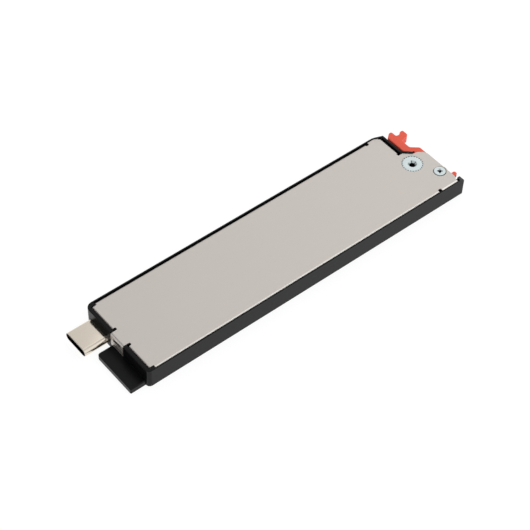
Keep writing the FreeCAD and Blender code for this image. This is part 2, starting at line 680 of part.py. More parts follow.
def hollow_tray(tray, s, bevel_x):
    """The bay for the boards and the latch, open at the far end to the right of the recess."""
    inner_right = s.right + s.side_wall
    inner_left = s.left - s.side_wall
    bay = [
        (s.near + s.end_wall, inner_right),
        (s.far + s.beyond, inner_right),
        (s.far + s.beyond, s.recess_y),
        (s.recess_inner, s.recess_y),
        (s.recess_inner, inner_left - s.bevel_width),
        (bevel_x, inner_left),
        (s.near + s.end_wall, inner_left),
    ]
    tray.cut(tray.polygon(bay, s.floor_thickness), s.rim - s.floor_thickness + s.beyond)


def cut_cover_seat(tray, s, bevel_x):
    """Rabbets: deep ones that take the cover's flanges and shallow ones under its ears."""
    inner_right = s.right + s.side_wall
    inner_left = s.left - s.side_wall
    above = s.rim + s.beyond
    tray.cut_block(
        s.notch_x - s.cover_gap, s.right_ear_x,
        s.right + s.right_lip, inner_right + s.beyond, s.ledge, above,
    )
    tray.cut_block(
        s.near + s.end_wall, s.notch_x,
        s.notch_right - s.ear_gap, inner_right + s.beyond, s.ledge, above,
    )
    left_seat_end = s.left_ear_x - s.left_relief_length / 2
    tray.cut_block(
        s.notch_x - s.cover_gap, left_seat_end,
        inner_left - s.beyond, s.left - s.left_lip, s.ledge, above,
    )
    tray.cut_block(
        s.right_ear_x - s.beyond, s.cover_far + s.ear_gap,
        s.right + s.right_lip, inner_right + s.beyond, s.cover_under, above,
    )
    left_ear_end = s.left_ear_x + s.left_ear_length
    ear_pocket = [
        (left_seat_end, inner_left - s.beyond),
        (s.recess_inner, inner_left - s.beyond),
        (s.recess_inner, inner_left),
        (left_ear_end + s.bevel_width, s.left - s.left_lip - s.bevel_width / 2),
        (left_ear_end, s.left - s.left_lip),
        (left_seat_end, s.left - s.left_lip),
    ]
    tray.cut(tray.polygon(ear_pocket, s.cover_under), above - s.cover_under)
    tray.cut_block(
        s.recess_inner - s.beyond / 2, s.recess_x - s.recess_lip,
        s.recess_y - s.beyond, s.back_flange_high + s.ear_gap, s.ledge, above,
    )


def cut_plug_end(tray, s):
    """The plug's aperture, the snap tab's pocket and the snap catch that fills its window."""
    aperture = tray.sketch("YZ", s.near - s.beyond)
    radius = s.plug_height / 2 + s.plug_clearance
    tray.stadium(aperture, s.plug_y, s.plug_level, s.plug_width / 2 - s.plug_height / 2, radius)
    tray.cut(aperture, s.beyond + s.plug_tail + s.plug_clearance)
    pocket_depth = s.cover_thickness + s.tab_clearance
    tray.cut_block(
        s.near - s.beyond, s.near + pocket_depth,
        s.tab_right - s.tab_clearance, s.tab_left + s.tab_clearance,
        s.tab_bottom - s.tab_clearance, s.rim + s.beyond,
    )
    tray.cut_block(
        s.near - s.beyond, s.near + s.end_wall + s.beyond,
        s.tab_right - s.tab_clearance, s.tab_left + s.tab_clearance,
        s.cover_under - s.ear_gap, s.rim + s.beyond,
    )
    low = s.window_level + s.catch_clearance
    high = s.window_level + s.window_height - s.catch_clearance
    ramp = [
        (s.near + pocket_depth + s.catch_relief, low),
        (s.near + pocket_depth + s.catch_relief, high),
        (s.near + s.cover_thickness / 2, high),
        (s.near + s.catch_relief, (low + high) / 2),
        (s.near + s.catch_relief, low),
    ]
    catch_left = s.window_left - s.catch_clearance
    drawing = tray.polygon(ramp, catch_left, "XZ")
    tray.pad(drawing, s.window_width - s.catch_clearance * 2)


def add_tongue(tray, s):
    """Flat guide tongue in line with the underside, its top edges bevelled."""
    tongue_right = s.right + s.tongue_inset
    tongue_left = s.plug_y - s.plug_width / 2 - s.tongue_plug_gap
    tip = s.near - s.tongue_length
    tray.block(tip, s.near, tongue_right, tongue_left, 0, s.tongue_thickness)
    tray.round_corners([(tip, tongue_left)], s.tongue_corner_radius)
    tray.round_corners([(tip, tongue_right)], s.tongue_small_radius)
    outside = number(s.near) - NEAR_ENOUGH
    top_edges = tray.edges(
        lambda edge: at_level(edge, s.tongue_thickness) and edge.BoundBox.XMin < outside
        and not lies_on(edge, x=s.near)
    )
    tray.finish_edges(top_edges, s.tongue_chamfer, chamfer=True)


def add_board_seats(tray, s):
    """Ribs and pegs under the adapter board, guide ribs beside the drive and its screw boss."""
    inner_right = s.right + s.side_wall
    inner_left = s.left - s.side_wall
    low = s.floor_thickness
    seat_right = s.board_right + s.board_corner_radius
    near_seat_left = s.plug_y - s.plug_width / 2 - s.plug_clearance
    tray.block(
        s.board_near, s.board_near + s.seat_rib_width, seat_right, near_seat_left,
        low, s.board_under,
    )
    tray.block(
        s.board_far - s.seat_rib_width, s.board_far,
        seat_right, s.board_left - s.board_corner_radius, low, s.board_under,
    )
    for x, y in peg_places(s):
        tray.cylinder(x, y, s.peg_radius * 2, low, s.board_under)
        tray.cylinder(x, y, s.peg_radius, s.board_under, s.board_top + s.peg_height)
    rib_start = s.near + s.guide_rib_start
    ribs = [
        tray.block(
            rib_start, rib_start + s.guide_rib_width,
            inner_right - s.beyond / 4, s.board_right - s.guide_rib_gap, low, s.ledge,
        ),
        tray.block(
            rib_start, rib_start + s.guide_rib_width,
            s.board_left + s.guide_rib_gap, inner_left + s.beyond / 4, low, s.ledge,
        ),
    ]
    tray.repeat(ribs, "X_Axis", s.guide_rib_pitch * (s.guide_rib_count - 1), s.guide_rib_count)
    tray.bore(
        s.module_x, s.middle, s.standoff_radius + s.insert_gap,
        low - s.standoff_sink, low + s.beyond,
    )


def peg_places(s):
    """Centres of the two pegs that locate the adapter board."""
    x = s.board_near + s.peg_inset
    return [(x, s.board_right + s.peg_inset), (x, s.middle - s.peg_offset)]


def shape_right_end(tray, s):
    """The right wall's end: a lip turned inwards, and a top that slopes down to the lip."""
    low_top = s.rim - s.end_slope_drop
    tray.block(
        s.far - s.end_lip_width, s.far, s.right + s.side_wall / 2, s.right + s.end_lip_reach,
        s.floor_thickness / 2, low_top,
    )
    slope = [
        (s.far - s.end_slope_length, s.rim),
        (s.far, low_top),
        (s.far + s.beyond, low_top),
        (s.far + s.beyond, s.rim + s.beyond),
        (s.far - s.end_slope_length, s.rim + s.beyond),
    ]
    inside = s.right + s.end_lip_reach + s.beyond
    tray.cut(tray.polygon(slope, inside, "XZ"), s.end_lip_reach + s.beyond * 2)


def add_guard(tray, s):
    """Guard wall: the recess's wall goes on beside the cover's slanted edge, up to the lever."""
    start_x, start_y = s.pivot_x + s.slant_start_x, s.slant_high
    elbow_x, elbow_y = s.pivot_x + s.slant_elbow_x, s.pivot_y + s.slant_elbow_y
    run_x, run_y = number(elbow_x - start_x), number(elbow_y - start_y)
    run = math.hypot(run_x, run_y)
    out_x, out_y = -run_y / run, run_x / run
    inner = s.guard_gap
    outer = s.guard_gap + s.guard_wall
    end_x = elbow_x + s.guard_end
    middle_x = s.recess_inner + s.recess_wall / 2
    plan = [
        (middle_x, s.recess_y + s.recess_wall / 4),
        (middle_x, start_y + inner),
        (start_x + inner * out_x, start_y + inner * out_y),
        (elbow_x + inner * out_x, elbow_y + inner * out_y),
        (end_x, elbow_y + inner),
        (end_x, elbow_y + outer * out_y),
        (elbow_x + outer * out_x, elbow_y + outer * out_y),
        (s.recess_x, s.recess_y),
        (s.recess_x, s.recess_y + s.recess_wall / 4),
    ]
    low = s.floor_thickness / 2
    tray.pad(tray.polygon(plan, low), s.rim - low)


def add_latch_bay(tray, s):
    """Cross ribs under the cover, the pivot's pad and socket, the screw boss and spring peg."""
    low = s.floor_thickness
    rib_near = s.far - s.stop_rib_from_end
    rib_far = rib_near + s.stop_rib_width
    into_wall = s.side_wall - s.beyond / 4
    tray.block(
        rib_near, rib_far, s.left - s.left_rib_reach, s.left - into_wall, low, s.cover_under
    )
    tray.block(
        rib_near, rib_far, s.right + into_wall, s.right + s.right_rib_reach, low, s.ledge
    )
    tray.cylinder(s.pivot_x, s.pivot_y, s.pivot_pad_radius, low / 2, s.pad_top)
    socket_radius = s.pivot_spigot_radius + s.insert_gap
    socket_floor = s.pad_top - s.pivot_spigot_depth - s.ear_gap
    tray.bore(s.pivot_x, s.pivot_y, socket_radius, socket_floor, s.pad_top + s.beyond)
    tray.cylinder(s.screw_x, s.screw_y, s.screw_boss_radius, low / 2, s.dimple_under)
    tray.bore(
        s.screw_x, s.screw_y, s.insert_radius + s.insert_gap,
        s.dimple_under - s.insert_length, s.dimple_under + s.beyond,
    )
    peg_x, peg_y = spring_peg(s)
    tray.cylinder(peg_x, peg_y, s.spring_peg_radius, low / 2, s.spring_low + s.spring_wire * 2)


def spring_peg(s):
    """Centre of the tray's peg, on the right of the leg that bears on it."""
    x = s.pivot_x - s.spring_peg_from_pivot
    y = s.pivot_y - s.spring_radius - s.spring_wire / 2 - s.spring_peg_radius - s.insert_gap
    return x, y


def cover_outline(s):
    """Plan of the folded cover with its bend reliefs, anticlockwise from near right."""
    ear_end = s.left_ear_x + s.left_ear_length
    return [
        (s.notch_x, s.ear_right),
        (s.right_relief_x, s.ear_right),
        (s.right_relief_x, s.right_relief_y),
        (s.right_ear_x, s.right_relief_y),
        (s.right_ear_x, s.ear_right),
        (s.cover_far - s.far_corner_length, s.ear_right),
        (s.cover_far - s.far_corner_length, s.ear_right + s.far_corner_step),
        (s.cover_far, s.ear_right + s.far_corner_width),
        *slant_spots(s),
        (s.back_relief_x, s.slant_high),
        (s.back_relief_x, s.back_flange_low),
        (s.flange_back, s.back_flange_low),
        (s.flange_back, s.back_flange_high),
        (ear_end + s.bevel_width, s.back_flange_high),
        (ear_end + s.bevel_width, s.ear_left - s.bevel_width / 2),
        (ear_end, s.ear_left),
        (s.left_ear_x, s.ear_left),
        (s.left_ear_x, s.left_relief_y),
        (s.left_relief_x, s.left_relief_y),
        (s.left_relief_x, s.flange_left),
        (s.notch_x, s.flange_left),
        (s.notch_x, s.notch_left),
        (s.flange_near, s.notch_left),
        (s.flange_near, s.tab_left + s.relief_width),
        (s.relief_end, s.tab_left + s.relief_width),
        (s.relief_end, s.tab_left),
        (s.near, s.tab_left),
        (s.near, s.tab_right),
        (s.relief_end, s.tab_right),
        (s.relief_end, s.tab_right - s.relief_width),
        (s.flange_near, s.tab_right - s.relief_width),
        (s.flange_near, s.notch_right),
        (s.notch_x, s.notch_right),
    ]


def slant_spots(s):
    """Corners of the cover's slanted edge beside the lever, from its far end to its near end."""
    x, y = s.pivot_x, s.pivot_y
    return [
        (s.cover_far, y + s.slant_end_y),
        (x + s.slant_fall_x, y + s.slant_fall_y),
        (x + s.slant_crest_x, y + s.slant_crest_y),
        (x + s.slant_elbow_x, y + s.slant_elbow_y),
        (x + s.slant_start_x, s.slant_high),
    ]


def build_cover(document, s):
    """Folded steel cover: flat sheet with bend reliefs, flanges, snap tab, screw dimple."""
    cover = Piece(document, "cover_plate")
    cover.pad(cover.polygon(cover_outline(s), s.cover_under), s.cover_thickness)
    add_flanges(cover, s)
    add_snap_tab(cover, s)
    relief_spots = [
        (s.relief_end, s.tab_left + s.relief_width),
        (s.relief_end, s.tab_right - s.relief_width),
        (s.relief_end, s.tab_left),
        (s.relief_end, s.tab_right),
        (s.right_relief_x, s.right_relief_y),
        (s.right_ear_x, s.right_relief_y),
        (s.left_relief_x, s.left_relief_y),
        (s.left_ear_x, s.left_relief_y),
        (s.back_relief_x, s.slant_high),
        (s.back_relief_x, s.back_flange_low),
    ]
    cover.round_corners(relief_spots, s.relief_radius)
    cover.round_corners(slant_spots(s)[1:-1], s.slant_radius)
    add_dimple(cover, s)
    cover.bore(
        s.pivot_x, s.pivot_y, s.post_head_radius + s.clinch_gap,
        s.cover_under - s.beyond, s.rim + s.beyond,
    )
    return cover


def add_flanges(cover, s):
    """Flanges that hang from the sheet's edges to their seats in the tray."""
    sheet = s.cover_thickness
    bottom, top = s.ledge, s.cover_top
    near_inner = s.flange_near + sheet
    flanges = [
        (s.notch_x, s.right_relief_x, s.ear_right, s.ear_right + sheet),
        (s.notch_x, s.left_relief_x, s.flange_left - sheet, s.flange_left),
        (s.flange_near, near_inner, s.notch_right, s.tab_right - s.relief_width),
        (s.flange_near, near_inner, s.tab_left + s.relief_width, s.notch_left),
        (s.flange_back - sheet, s.flange_back, s.back_flange_low, s.back_flange_high),
    ]
    for x0, x1, y0, y1 in flanges:
        cover.block(x0, x1, y0, y1, bottom, top)
    cover.finish_edges(cover.edges(lambda edge: is_bend(edge, s)), s.cover_bend_radius)


def is_bend(edge, s):
    """Whether an edge is the top outer corner of a flange."""
    if not at_level(edge, s.cover_top):
        return False
    if lies_on(edge, y=s.ear_right):
        return edge.BoundBox.XMax < number(s.right_relief_x) + NEAR_ENOUGH
    if lies_on(edge, x=s.flange_back):
        return edge.BoundBox.YMin > number(s.middle)
    return lies_on(edge, y=s.flange_left) or lies_on(edge, x=s.flange_near)


def add_snap_tab(cover, s):
    """The leg that bends down the end wall's face, with the window that takes the catch."""
    sheet = s.cover_thickness
    cover.block(s.near, s.near + sheet, s.tab_right, s.tab_left, s.tab_bottom, s.cover_top)
    bend = cover.edges(lambda edge: lies_on(edge, x=s.near, z=s.cover_top))
    cover.finish_edges(bend, s.tab_bend_radius)
    tips = cover.edges(lambda edge: is_tab_tip(edge, s))
    cover.finish_edges(tips, s.tab_corner_radius)
    cover.cut_block(
        s.near - s.beyond, s.near + sheet + s.cover_end_gap, s.window_right, s.window_left,
        s.window_level, s.window_level + s.window_height,
    )


def is_tab_tip(edge, s):
    """Whether an edge is a lower corner of the tab, running through its sheet."""
    for side in (s.tab_right, s.tab_left):
        if lies_on(edge, y=side, z=s.tab_bottom):
            return True
    return False


def add_dimple(cover, s):
    """Conical dimple that lets the screw head lie flush."""
    under_top = s.dimple_radius + s.dimple_sheet
    under_low = s.dimple_hole_radius + s.dimple_sheet
    shell = [
        (s.dimple_hole_radius, s.cover_top - s.cover_thickness / 2),
        (s.dimple_hole_radius, s.dimple_under),
        (under_low, s.dimple_under),
        (under_top, s.cover_under),
        (under_top, s.cover_top - s.cover_thickness / 2),
    ]
    cover.turned(shell, s.screw_x, s.screw_y)
    mouth = s.dimple_radius + s.beyond
    countersink = [
        (0, s.dimple_under - s.beyond),
        (s.dimple_hole_radius, s.dimple_under - s.beyond),
        (s.dimple_hole_radius, s.dimple_bottom),
        (mouth, s.cover_top + s.beyond),
        (0, s.cover_top + s.beyond),
    ]
    cover.turned(countersink, s.screw_x, s.screw_y, groove=True)


def lever_outline(s):
    """Plan of the latch lever as named points, anticlockwise from the hook's lower corner."""
    x, y = s.pivot_x, s.pivot_y
    bar_inner = x + s.bar_inner
    bar_outer = bar_inner + s.bar_width
    hook_x = x + s.hook_reach
    hook_y = y - s.hook_drop
    arm_top = s.screw_y - s.screw_boss_radius - s.arm_clearance
    arm_foot = arm_top - s.arm_width
    shank_left = x - s.shank_half_width
    shank_right = x + s.shank_half_width
    elbow_x = x + s.elbow_reach
    return {
        "hook_low": (hook_x, hook_y),
        "hook_high": (hook_x, hook_y + s.hook_width),
        "hook_back": (hook_x - s.hook_length, hook_y + s.hook_width),
        "arm_throat": (hook_x - s.hook_throat, arm_top),
        "shank_foot": (shank_right, arm_top),
        "web_low": (shank_right, y - s.web_low),
        "elbow_neck": (elbow_x - s.elbow_neck, y - s.elbow_neck_low),
        "elbow_low": (elbow_x, y + s.elbow_low),
        "elbow_high": (elbow_x, y + s.elbow_high),
        "bar_outer_start": (bar_outer, y + s.bar_start_outer),
        "bar_outer_end": (bar_outer, y + s.head_start),
        "prong_low": (x + s.prong_reach, y + s.prong_low),
        "prong_high": (x + s.prong_reach, y + s.prong_high),
        "prong_shoulder": (x + s.prong_shoulder_x, y + s.prong_shoulder_y),
        "prong_foot": (x + s.prong_foot_x, y + s.valley_y),
        "valley": (x + s.valley_x, y + s.valley_y),
        "hump_outer": (x + s.hump_right, y + s.hump_high),
        "hump_inner": (x + s.hump_left, y + s.hump_high),
        "hump_base": (bar_inner, y + s.hump_base),
        "bar_inner_start": (bar_inner, y + s.bar_start_inner),
        "neck_inner": (x + s.neck_inner_x, y + s.neck_inner_y),
        "neck_root": (x + s.neck_root_x, y + s.neck_root_y),
        "hub": (x, y + s.spring_pocket_inner),
        "shank_top": (shank_left, y),
        "shank_side": (shank_left, arm_foot + s.shank_corner),
        "arm_start": (shank_left + s.shank_corner, arm_foot),
    }


LARGE_ROUNDS = ("shank_foot", "web_low", "elbow_neck", "elbow_low", "shank_side", "arm_start")
MIDDLE_ROUNDS = ("elbow_high", "bar_outer_start", "bar_inner_start", "neck_inner")
SMALL_ROUNDS = (
    "hook_low", "hook_high", "bar_outer_end", "prong_low", "prong_high", "prong_shoulder",
    "prong_foot", "valley", "hump_outer", "hump_inner", "hump_base",
)


def build_lever(document, s):
    """Moulded latch lever: fishtail handle, hub around the pivot and a hook that locks."""
    lever = Piece(document, "latch_lever")
    spots = lever_outline(s)
    lever.pad(lever.polygon(list(spots.values()), s.lever_bottom), s.lever_height)
    lever.round_corners([spots[name] for name in LARGE_ROUNDS], s.lever_large_radius)
    lever.round_corners([spots[name] for name in MIDDLE_ROUNDS], s.lever_middle_radius)
    lever.round_corners([spots[name] for name in SMALL_ROUNDS], s.lever_small_radius)
    lever.cylinder(s.pivot_x, s.pivot_y, s.hub_radius, s.lever_bottom, s.lever_top)
    handle_start = number(s.pivot_y + s.bar_start_outer)
    handle_tops = lever.edges(
        lambda edge: at_level(edge, s.lever_top) and edge.BoundBox.YMin > handle_start
    )
    lever.finish_edges(handle_tops, s.lever_edge_chamfer, chamfer=True)
    below, above = s.lever_bottom - s.beyond, s.lever_top + s.beyond
    lever.cut_block(
        s.pivot_x, s.pivot_x + s.hook_reach, s.pivot_y + s.bar_start_inner,
        s.pivot_y + s.hump_high + s.beyond, below, s.lever_bottom + s.handle_rise,
    )
    hook_x, hook_y = spots["hook_low"]
    lever.cut_block(
        hook_x - s.hook_length, hook_x + s.beyond, hook_y - s.beyond,
        hook_y + s.hook_width + s.beyond, below, s.lever_top - s.hook_thickness,
    )
    lever.bore(s.pivot_x, s.pivot_y, s.post_radius + s.running_gap, below, above)
    pocket = lever.circles(
        s.pivot_x, s.pivot_y, [s.spring_pocket_outer, s.spring_pocket_inner], s.pocket_floor
    )
    lever.cut(pocket, s.spring_pocket_depth + s.beyond)
    leg_room = s.spring_wire / 2 + s.spring_leg_gap
    leg_y = s.pivot_y - s.spring_radius
    lever.cut_block(
        s.pivot_x, s.pivot_x + s.spring_lever_leg + s.spring_leg_gap,
        leg_y - leg_room, leg_y + leg_room, s.spring_high - leg_room, above,
    )
    lever.cut_block(
        s.pivot_x - s.hub_radius - s.beyond, s.pivot_x - s.spring_pocket_inner / 2,
        leg_y - s.spring_swing, leg_y + leg_room, s.spring_low - leg_room, above,
    )
    return lever


def build_pivot_post(document, s):
    """Turned pivot post clinched flush in the cover, with a knurled and dished head."""
    post = Piece(document, "pivot_post")
    foot = s.pad_top - s.pivot_spigot_depth
    collar = s.cover_under - s.post_collar_height
    head_x, disc = s.post_head_radius, s.post_disc_radius
    profile = [
        (0, foot),
        (s.pivot_spigot_radius, foot),
        (s.pivot_spigot_radius, s.pad_top),
        (s.post_radius, s.pad_top),
        (s.post_radius, collar),
        (s.post_collar_radius, collar),
        (s.post_collar_radius, s.cover_under),
        (head_x, s.cover_under),
        (head_x, s.cover_top),
        (s.dish_radius, s.cover_top),
        (s.post_hole_radius, s.cover_top - s.dish_depth),
        (s.post_hole_radius, s.cover_top - s.post_hole_depth),
        (0, s.cover_top - s.post_hole_depth),
    ]
    post.turned(profile, s.pivot_x, s.pivot_y)
    groove = post.cut_block(
        s.pivot_x + disc, s.pivot_x + head_x + s.beyond,
        s.pivot_y - s.knurl_width / 2, s.pivot_y + s.knurl_width / 2,
        s.cover_top - s.post_groove_depth, s.cover_top + s.beyond,
    )
    axis = post.circles(s.pivot_x, s.pivot_y, [s.post_radius], s.cover_top)
    ring = post.body.newObject("PartDesign::PolarPattern", post.fresh_name("knurls"))
    ring.Originals = [groove]
    ring.Axis = (axis, ["N_Axis"])
    ring.Angle = 360
    bind(ring, "Occurrences", s.knurl_count)
    post.body.Tip = ring
    return post


def build_washer(document, s):
    """Flat washer between the lever's hub and the cover."""
    washer = Piece(document, "latch_washer")
    low = s.lever_top + s.washer_gap
    washer.ring(
        s.pivot_x, s.pivot_y, s.washer_radius, s.post_radius + s.running_gap,
        low, low + s.washer_thickness,
    )
    return washer


def build_spring(document, s):
    """Wire torsion spring around the hub: one straight leg on the tray, one in the lever."""
    radius, wire = number(s.spring_radius), number(s.spring_wire)
    pitch, turns = number(s.spring_pitch), number(s.spring_turns)
    helix = Part.makeHelix(pitch, pitch * turns, radius)
    helix.rotate(Vector(0, 0, 0), Vector(0, 0, 1), -90)
    start = Vector(0, -radius, 0)
    finish = Vector(0, -radius, pitch * turns)
    first_leg = Part.makeLine(start - Vector(number(s.spring_tray_leg), 0, 0), start)
    last_leg = Part.makeLine(finish, finish + Vector(number(s.spring_lever_leg), 0, 0))
    path = Part.Wire([first_leg] + helix.Edges + [last_leg])
    tip = first_leg.Vertexes[0].Point
    angles = [2 * math.pi * side / WIRE_SIDES for side in range(WIRE_SIDES)]
    rim = [tip + Vector(0, math.cos(a), math.sin(a)) * (wire / 2) for a in angles]
    mouth = Part.makePolygon(rim + rim[:1])
    shape = path.makePipeShell([mouth], True, True)
    spring = document.addObject("Part::Feature", "latch_spring")
    spring.Label = "latch_spring"
    spring.Shape = shape
    spring.Placement.Base = Vector(number(s.pivot_x), number(s.pivot_y), number(s.spring_low))
    return spring


def build_cover_screw(document, s):
    """Countersunk screw of the cover, with a cross recess."""
    screw = Piece(document, "cover_screw")
    shank = s.screw_shank_radius
    cone_top = s.cover_top - s.screw_head_rim
    cone_low = cone_top - (s.screw_head_radius - shank)
    profile = [
        (0, s.cover_top - s.screw_length),
        (shank, s.cover_top - s.screw_length),
        (shank, cone_low),
        (s.screw_head_radius, cone_top),
        (s.screw_head_radius, s.cover_top),
        (0, s.cover_top),
    ]
    screw.turned(profile, s.screw_x, s.screw_y)
    cut_cross(screw, s)
    return screw


def cut_cross(screw, s):
    """Cross recess: two crossing slots, turned as the screw came to rest, and a round well."""
    low = s.cover_top - s.cross_depth
    for turn in (CROSS_TURN, CROSS_TURN + 90):
        slot = screw.polygon(slot_corners(s, math.radians(turn)), low)
        screw.cut(slot, s.cross_depth + s.beyond)
    screw.bore(
        s.screw_x, s.screw_y, s.cross_well_radius,
        low - s.cross_well_depth, s.cover_top + s.beyond,
    )


def slot_corners(s, turn):
    """Corners of one slot of the cross recess, its long side turned from +X by an angle."""
    half_length, half_width = s.cross_length / 2, s.cross_width / 2
    corners = []
    for u, v in ((-1, -1), (1, -1), (1, 1), (-1, 1)):
        along, across = half_length * u, half_width * v
        x = s.screw_x + along * math.cos(turn) - across * math.sin(turn)
        y = s.screw_y + along * math.sin(turn) + across * math.cos(turn)
        corners.append((x, y))
    return corners


def build_cover_insert(document, s):
    """Brass threaded insert in the cover screw's boss."""
    insert = Piece(document, "cover_insert")
    insert.ring(
        s.screw_x, s.screw_y, s.insert_radius, s.screw_shank_radius + s.thread_gap,
        s.dimple_under - s.insert_length, s.dimple_under,
    )
    return insert


def plug_sketch(piece, s, level, radius_off):
    """The plug's stadium section at a station along X, its radius smaller by an amount."""
    drawing = piece.sketch("YZ", level)
    half = s.plug_width / 2 - s.plug_height / 2
    return piece.stadium(drawing, s.plug_y, s.plug_level, half, s.plug_height / 2 - radius_off)


def build_plug_shell(document, s):
    """Drawn steel shell of the plug, open through, with a bevelled mouth."""
    shell = Piece(document, "plug_shell")
    mouth = s.near - s.plug_reach
    length = s.plug_reach + s.plug_tail
    drawing = plug_sketch(shell, s, mouth, 0)
    half = s.plug_width / 2 - s.plug_height / 2
    inner = s.plug_height / 2 - s.plug_wall
    shell.stadium(drawing, s.plug_y, s.plug_level, half, inner)
    shell.pad(drawing, length)
    rims = ((s.plug_rim_chamfer, s.plug_height / 2), (s.plug_inner_chamfer, inner))
    for size, radius in rims:
        rim = shell.edges(lambda edge: is_mouth(edge, s, mouth, half, radius))
        shell.finish_edges(rim, size, chamfer=True)
    return shell


def is_mouth(edge, s, mouth, half, radius):
    """Whether an edge lies in the mouth's plane on the stadium outline of one radius."""
    if edge.BoundBox.XMax > number(mouth) + NEAR_ENOUGH:
        return False
    point = edge.valueAt(edge.FirstParameter)
    across = max(abs(point.y - number(s.plug_y)) - number(half), 0)
    return abs(math.hypot(across, point.z - number(s.plug_level)) - number(radius)) < NEAR_ENOUGH


def build_insulator(document, s):
    """Moulded body of the plug, with the slot that takes the socket's blade."""
    insulator = Piece(document, "plug_insulator")
    front = s.near - s.plug_reach + s.insulator_setback
    back = s.near + s.plug_tail
    body = plug_sketch(insulator, s, front, s.plug_wall + s.insulator_gap)
    insulator.pad(body, back - front)
    slot_right = s.plug_y - s.slot_width / 2
    slot_left = s.plug_y + s.slot_width / 2
    slot_low = s.board_under - s.contact_thickness - s.insulator_gap
    slot_high = s.board_top + s.contact_thickness + s.insulator_gap
    slot = insulator.rectangle(slot_right, slot_left, slot_low, slot_high, front - s.beyond, "YZ")
    insulator.cut(slot, s.slot_depth + s.beyond)
    for low, high in contact_levels(s):
        channel = insulator.rectangle(
            slot_right, slot_left, low - s.insulator_gap, high + s.insulator_gap,
            front + s.slot_depth - s.beyond / 4, "YZ",
        )
        insulator.cut(channel, back - front - s.slot_depth + s.beyond)
    return insulator


def contact_levels(s):
    """Lowest and highest face of the lower and the upper contact row."""
    low = s.board_under - s.contact_thickness
    high = s.board_top + s.contact_thickness
    return [(low, s.board_under), (s.board_top, high)]


def build_plug_contacts(document, s, label, row):
    """One row of plug contacts, from the slot to their solder tails on the board."""
    contacts = Piece(document, label, several=True)
    low, high = contact_levels(s)[row]
    start = s.near - s.plug_reach + s.contact_setback
    stop = s.board_near + s.solder_length
    span = s.contact_pitch * (s.contact_count - 1)
    first = s.plug_y - span / 2 - s.contact_width / 2
    strip = contacts.block(start, stop, first, first + s.contact_width, low, high)
    contacts.repeat([strip], "Y_Axis", span, s.contact_count)
    return contacts


def build_adapter_board(document, s):
    """Small board that joins the plug to the edge socket."""
    board = Piece(document, "adapter_board")
    board.block(
        s.board_near, s.board_far, s.board_right, s.board_left, s.board_under, s.board_top
    )
    corners = [(x, y) for x in (s.board_near, s.board_far) for y in (s.board_right, s.board_left)]
    board.round_corners(corners, s.board_corner_radius)
    for x, y in peg_places(s):
        hole = s.peg_radius + s.peg_clearance
        board.bore(x, y, hole, s.board_under - s.beyond, s.board_top + s.beyond)
    return board


def build_chip(document, s, label, x, y, length, width, base, height):
    """A rectangular package centred across on y, its near side at x, on a board."""
    chip = Piece(document, label)
    chip.block(x, x + length, y - width / 2, y + width / 2, base, base + height)
    return chip


def build_capacitors(document, s, label, x, y, base):
    """A row of ceramic capacitors across the board."""
    row = Piece(document, label, several=True)
    span = s.capacitor_pitch * (s.capacitor_count - 1)
    first = y - span / 2 - s.capacitor_width / 2
    block = row.block(
        x, x + s.capacitor_length, first, first + s.capacitor_width,
        base, base + s.capacitor_height,
    )
    row.repeat([block], "Y_Axis", span, s.capacitor_count)
    return row


def build_socket(document, s):
    """Edge socket: a housing with a slot for the drive board and a key across it."""
    socket = Piece(document, "edge_socket")
    top = s.board_top + s.socket_height
    right = s.board_right - s.socket_side_wall
    left = s.board_left + s.socket_side_wall
    socket.block(s.socket_near, s.socket_mouth, right, left, s.board_top, top)
    gap = s.socket_clearance
    slot_low = s.drive_under - gap - s.spring_contact_thickness - s.finger_thickness
    slot_high = s.drive_top + gap + s.spring_contact_thickness + s.finger_thickness
    socket.cut_block(
        s.edge_x - gap, s.socket_mouth + s.beyond,
        s.board_right - gap, s.board_left + gap, slot_low, slot_high,
    )
    key_y = s.middle - s.key_offset
    key_half = s.key_width / 2 - gap * 2
    socket.block(
        s.edge_x - gap - s.socket_clearance, s.socket_mouth - gap * 4,
        key_y - key_half, key_y + key_half, slot_low - gap, slot_high + gap,
    )
    return socket


def build_drive_board(document, s):
    """Drive board with its key notch and the half round screw notch at its end."""
    board = Piece(document, "drive_board")
    board.block(
        s.edge_x, s.module_x, s.board_right, s.board_left, s.drive_under, s.drive_top
    )
    below, above = s.drive_under - s.beyond, s.drive_top + s.beyond
    key_y = s.middle - s.key_offset
    board.cut_block(
        s.edge_x - s.beyond, s.edge_x + s.key_depth,
        key_y - s.key_width / 2, key_y + s.key_width / 2, below, above,
    )
    board.bore(s.module_x, s.middle, s.screw_notch_radius, below, above)
    return board


def build_fingers(document, s, label, base, thickness, length, start):
    """A row of parallel metal strips left of the key, across the card edge."""
    fingers = Piece(document, label, several=True)
    key_left = s.middle - s.key_offset + s.key_width / 2
    first = key_left + s.contact_pitch / 2
    span = s.contact_pitch * (s.finger_count - 1)
    strip = fingers.block(
        start, start + length, first, first + s.finger_width, base, base + thickness
    )
    fingers.repeat([strip], "Y_Axis", span, s.finger_count)
    return fingers


def build_thermal_pad(document, s):
    """Soft pad that fills the gap between the packages and the cover."""
    pad = Piece(document, "thermal_pad")
    start = s.edge_x + s.controller_from_edge - s.pad_margin
    last_package = s.edge_x + s.memory_start + s.memory_pitch + s.memory_length
    half = s.pad_width / 2
    pad.block(start, last_package + s.pad_margin, s.middle - half, s.middle + half,
              s.chip_top, s.cover_under)
    return pad


def build_film(document, s):
    """Insulating film on the tray's floor."""
    film = Piece(document, "insulating_film")
    stop = s.module_x - s.standoff_radius - s.film_end_gap
    half = s.film_width / 2
    film.block(
        s.near + s.film_start, stop, s.middle - half, s.middle + half,
        s.floor_thickness, s.floor_thickness + s.film_thickness,
    )
    return film


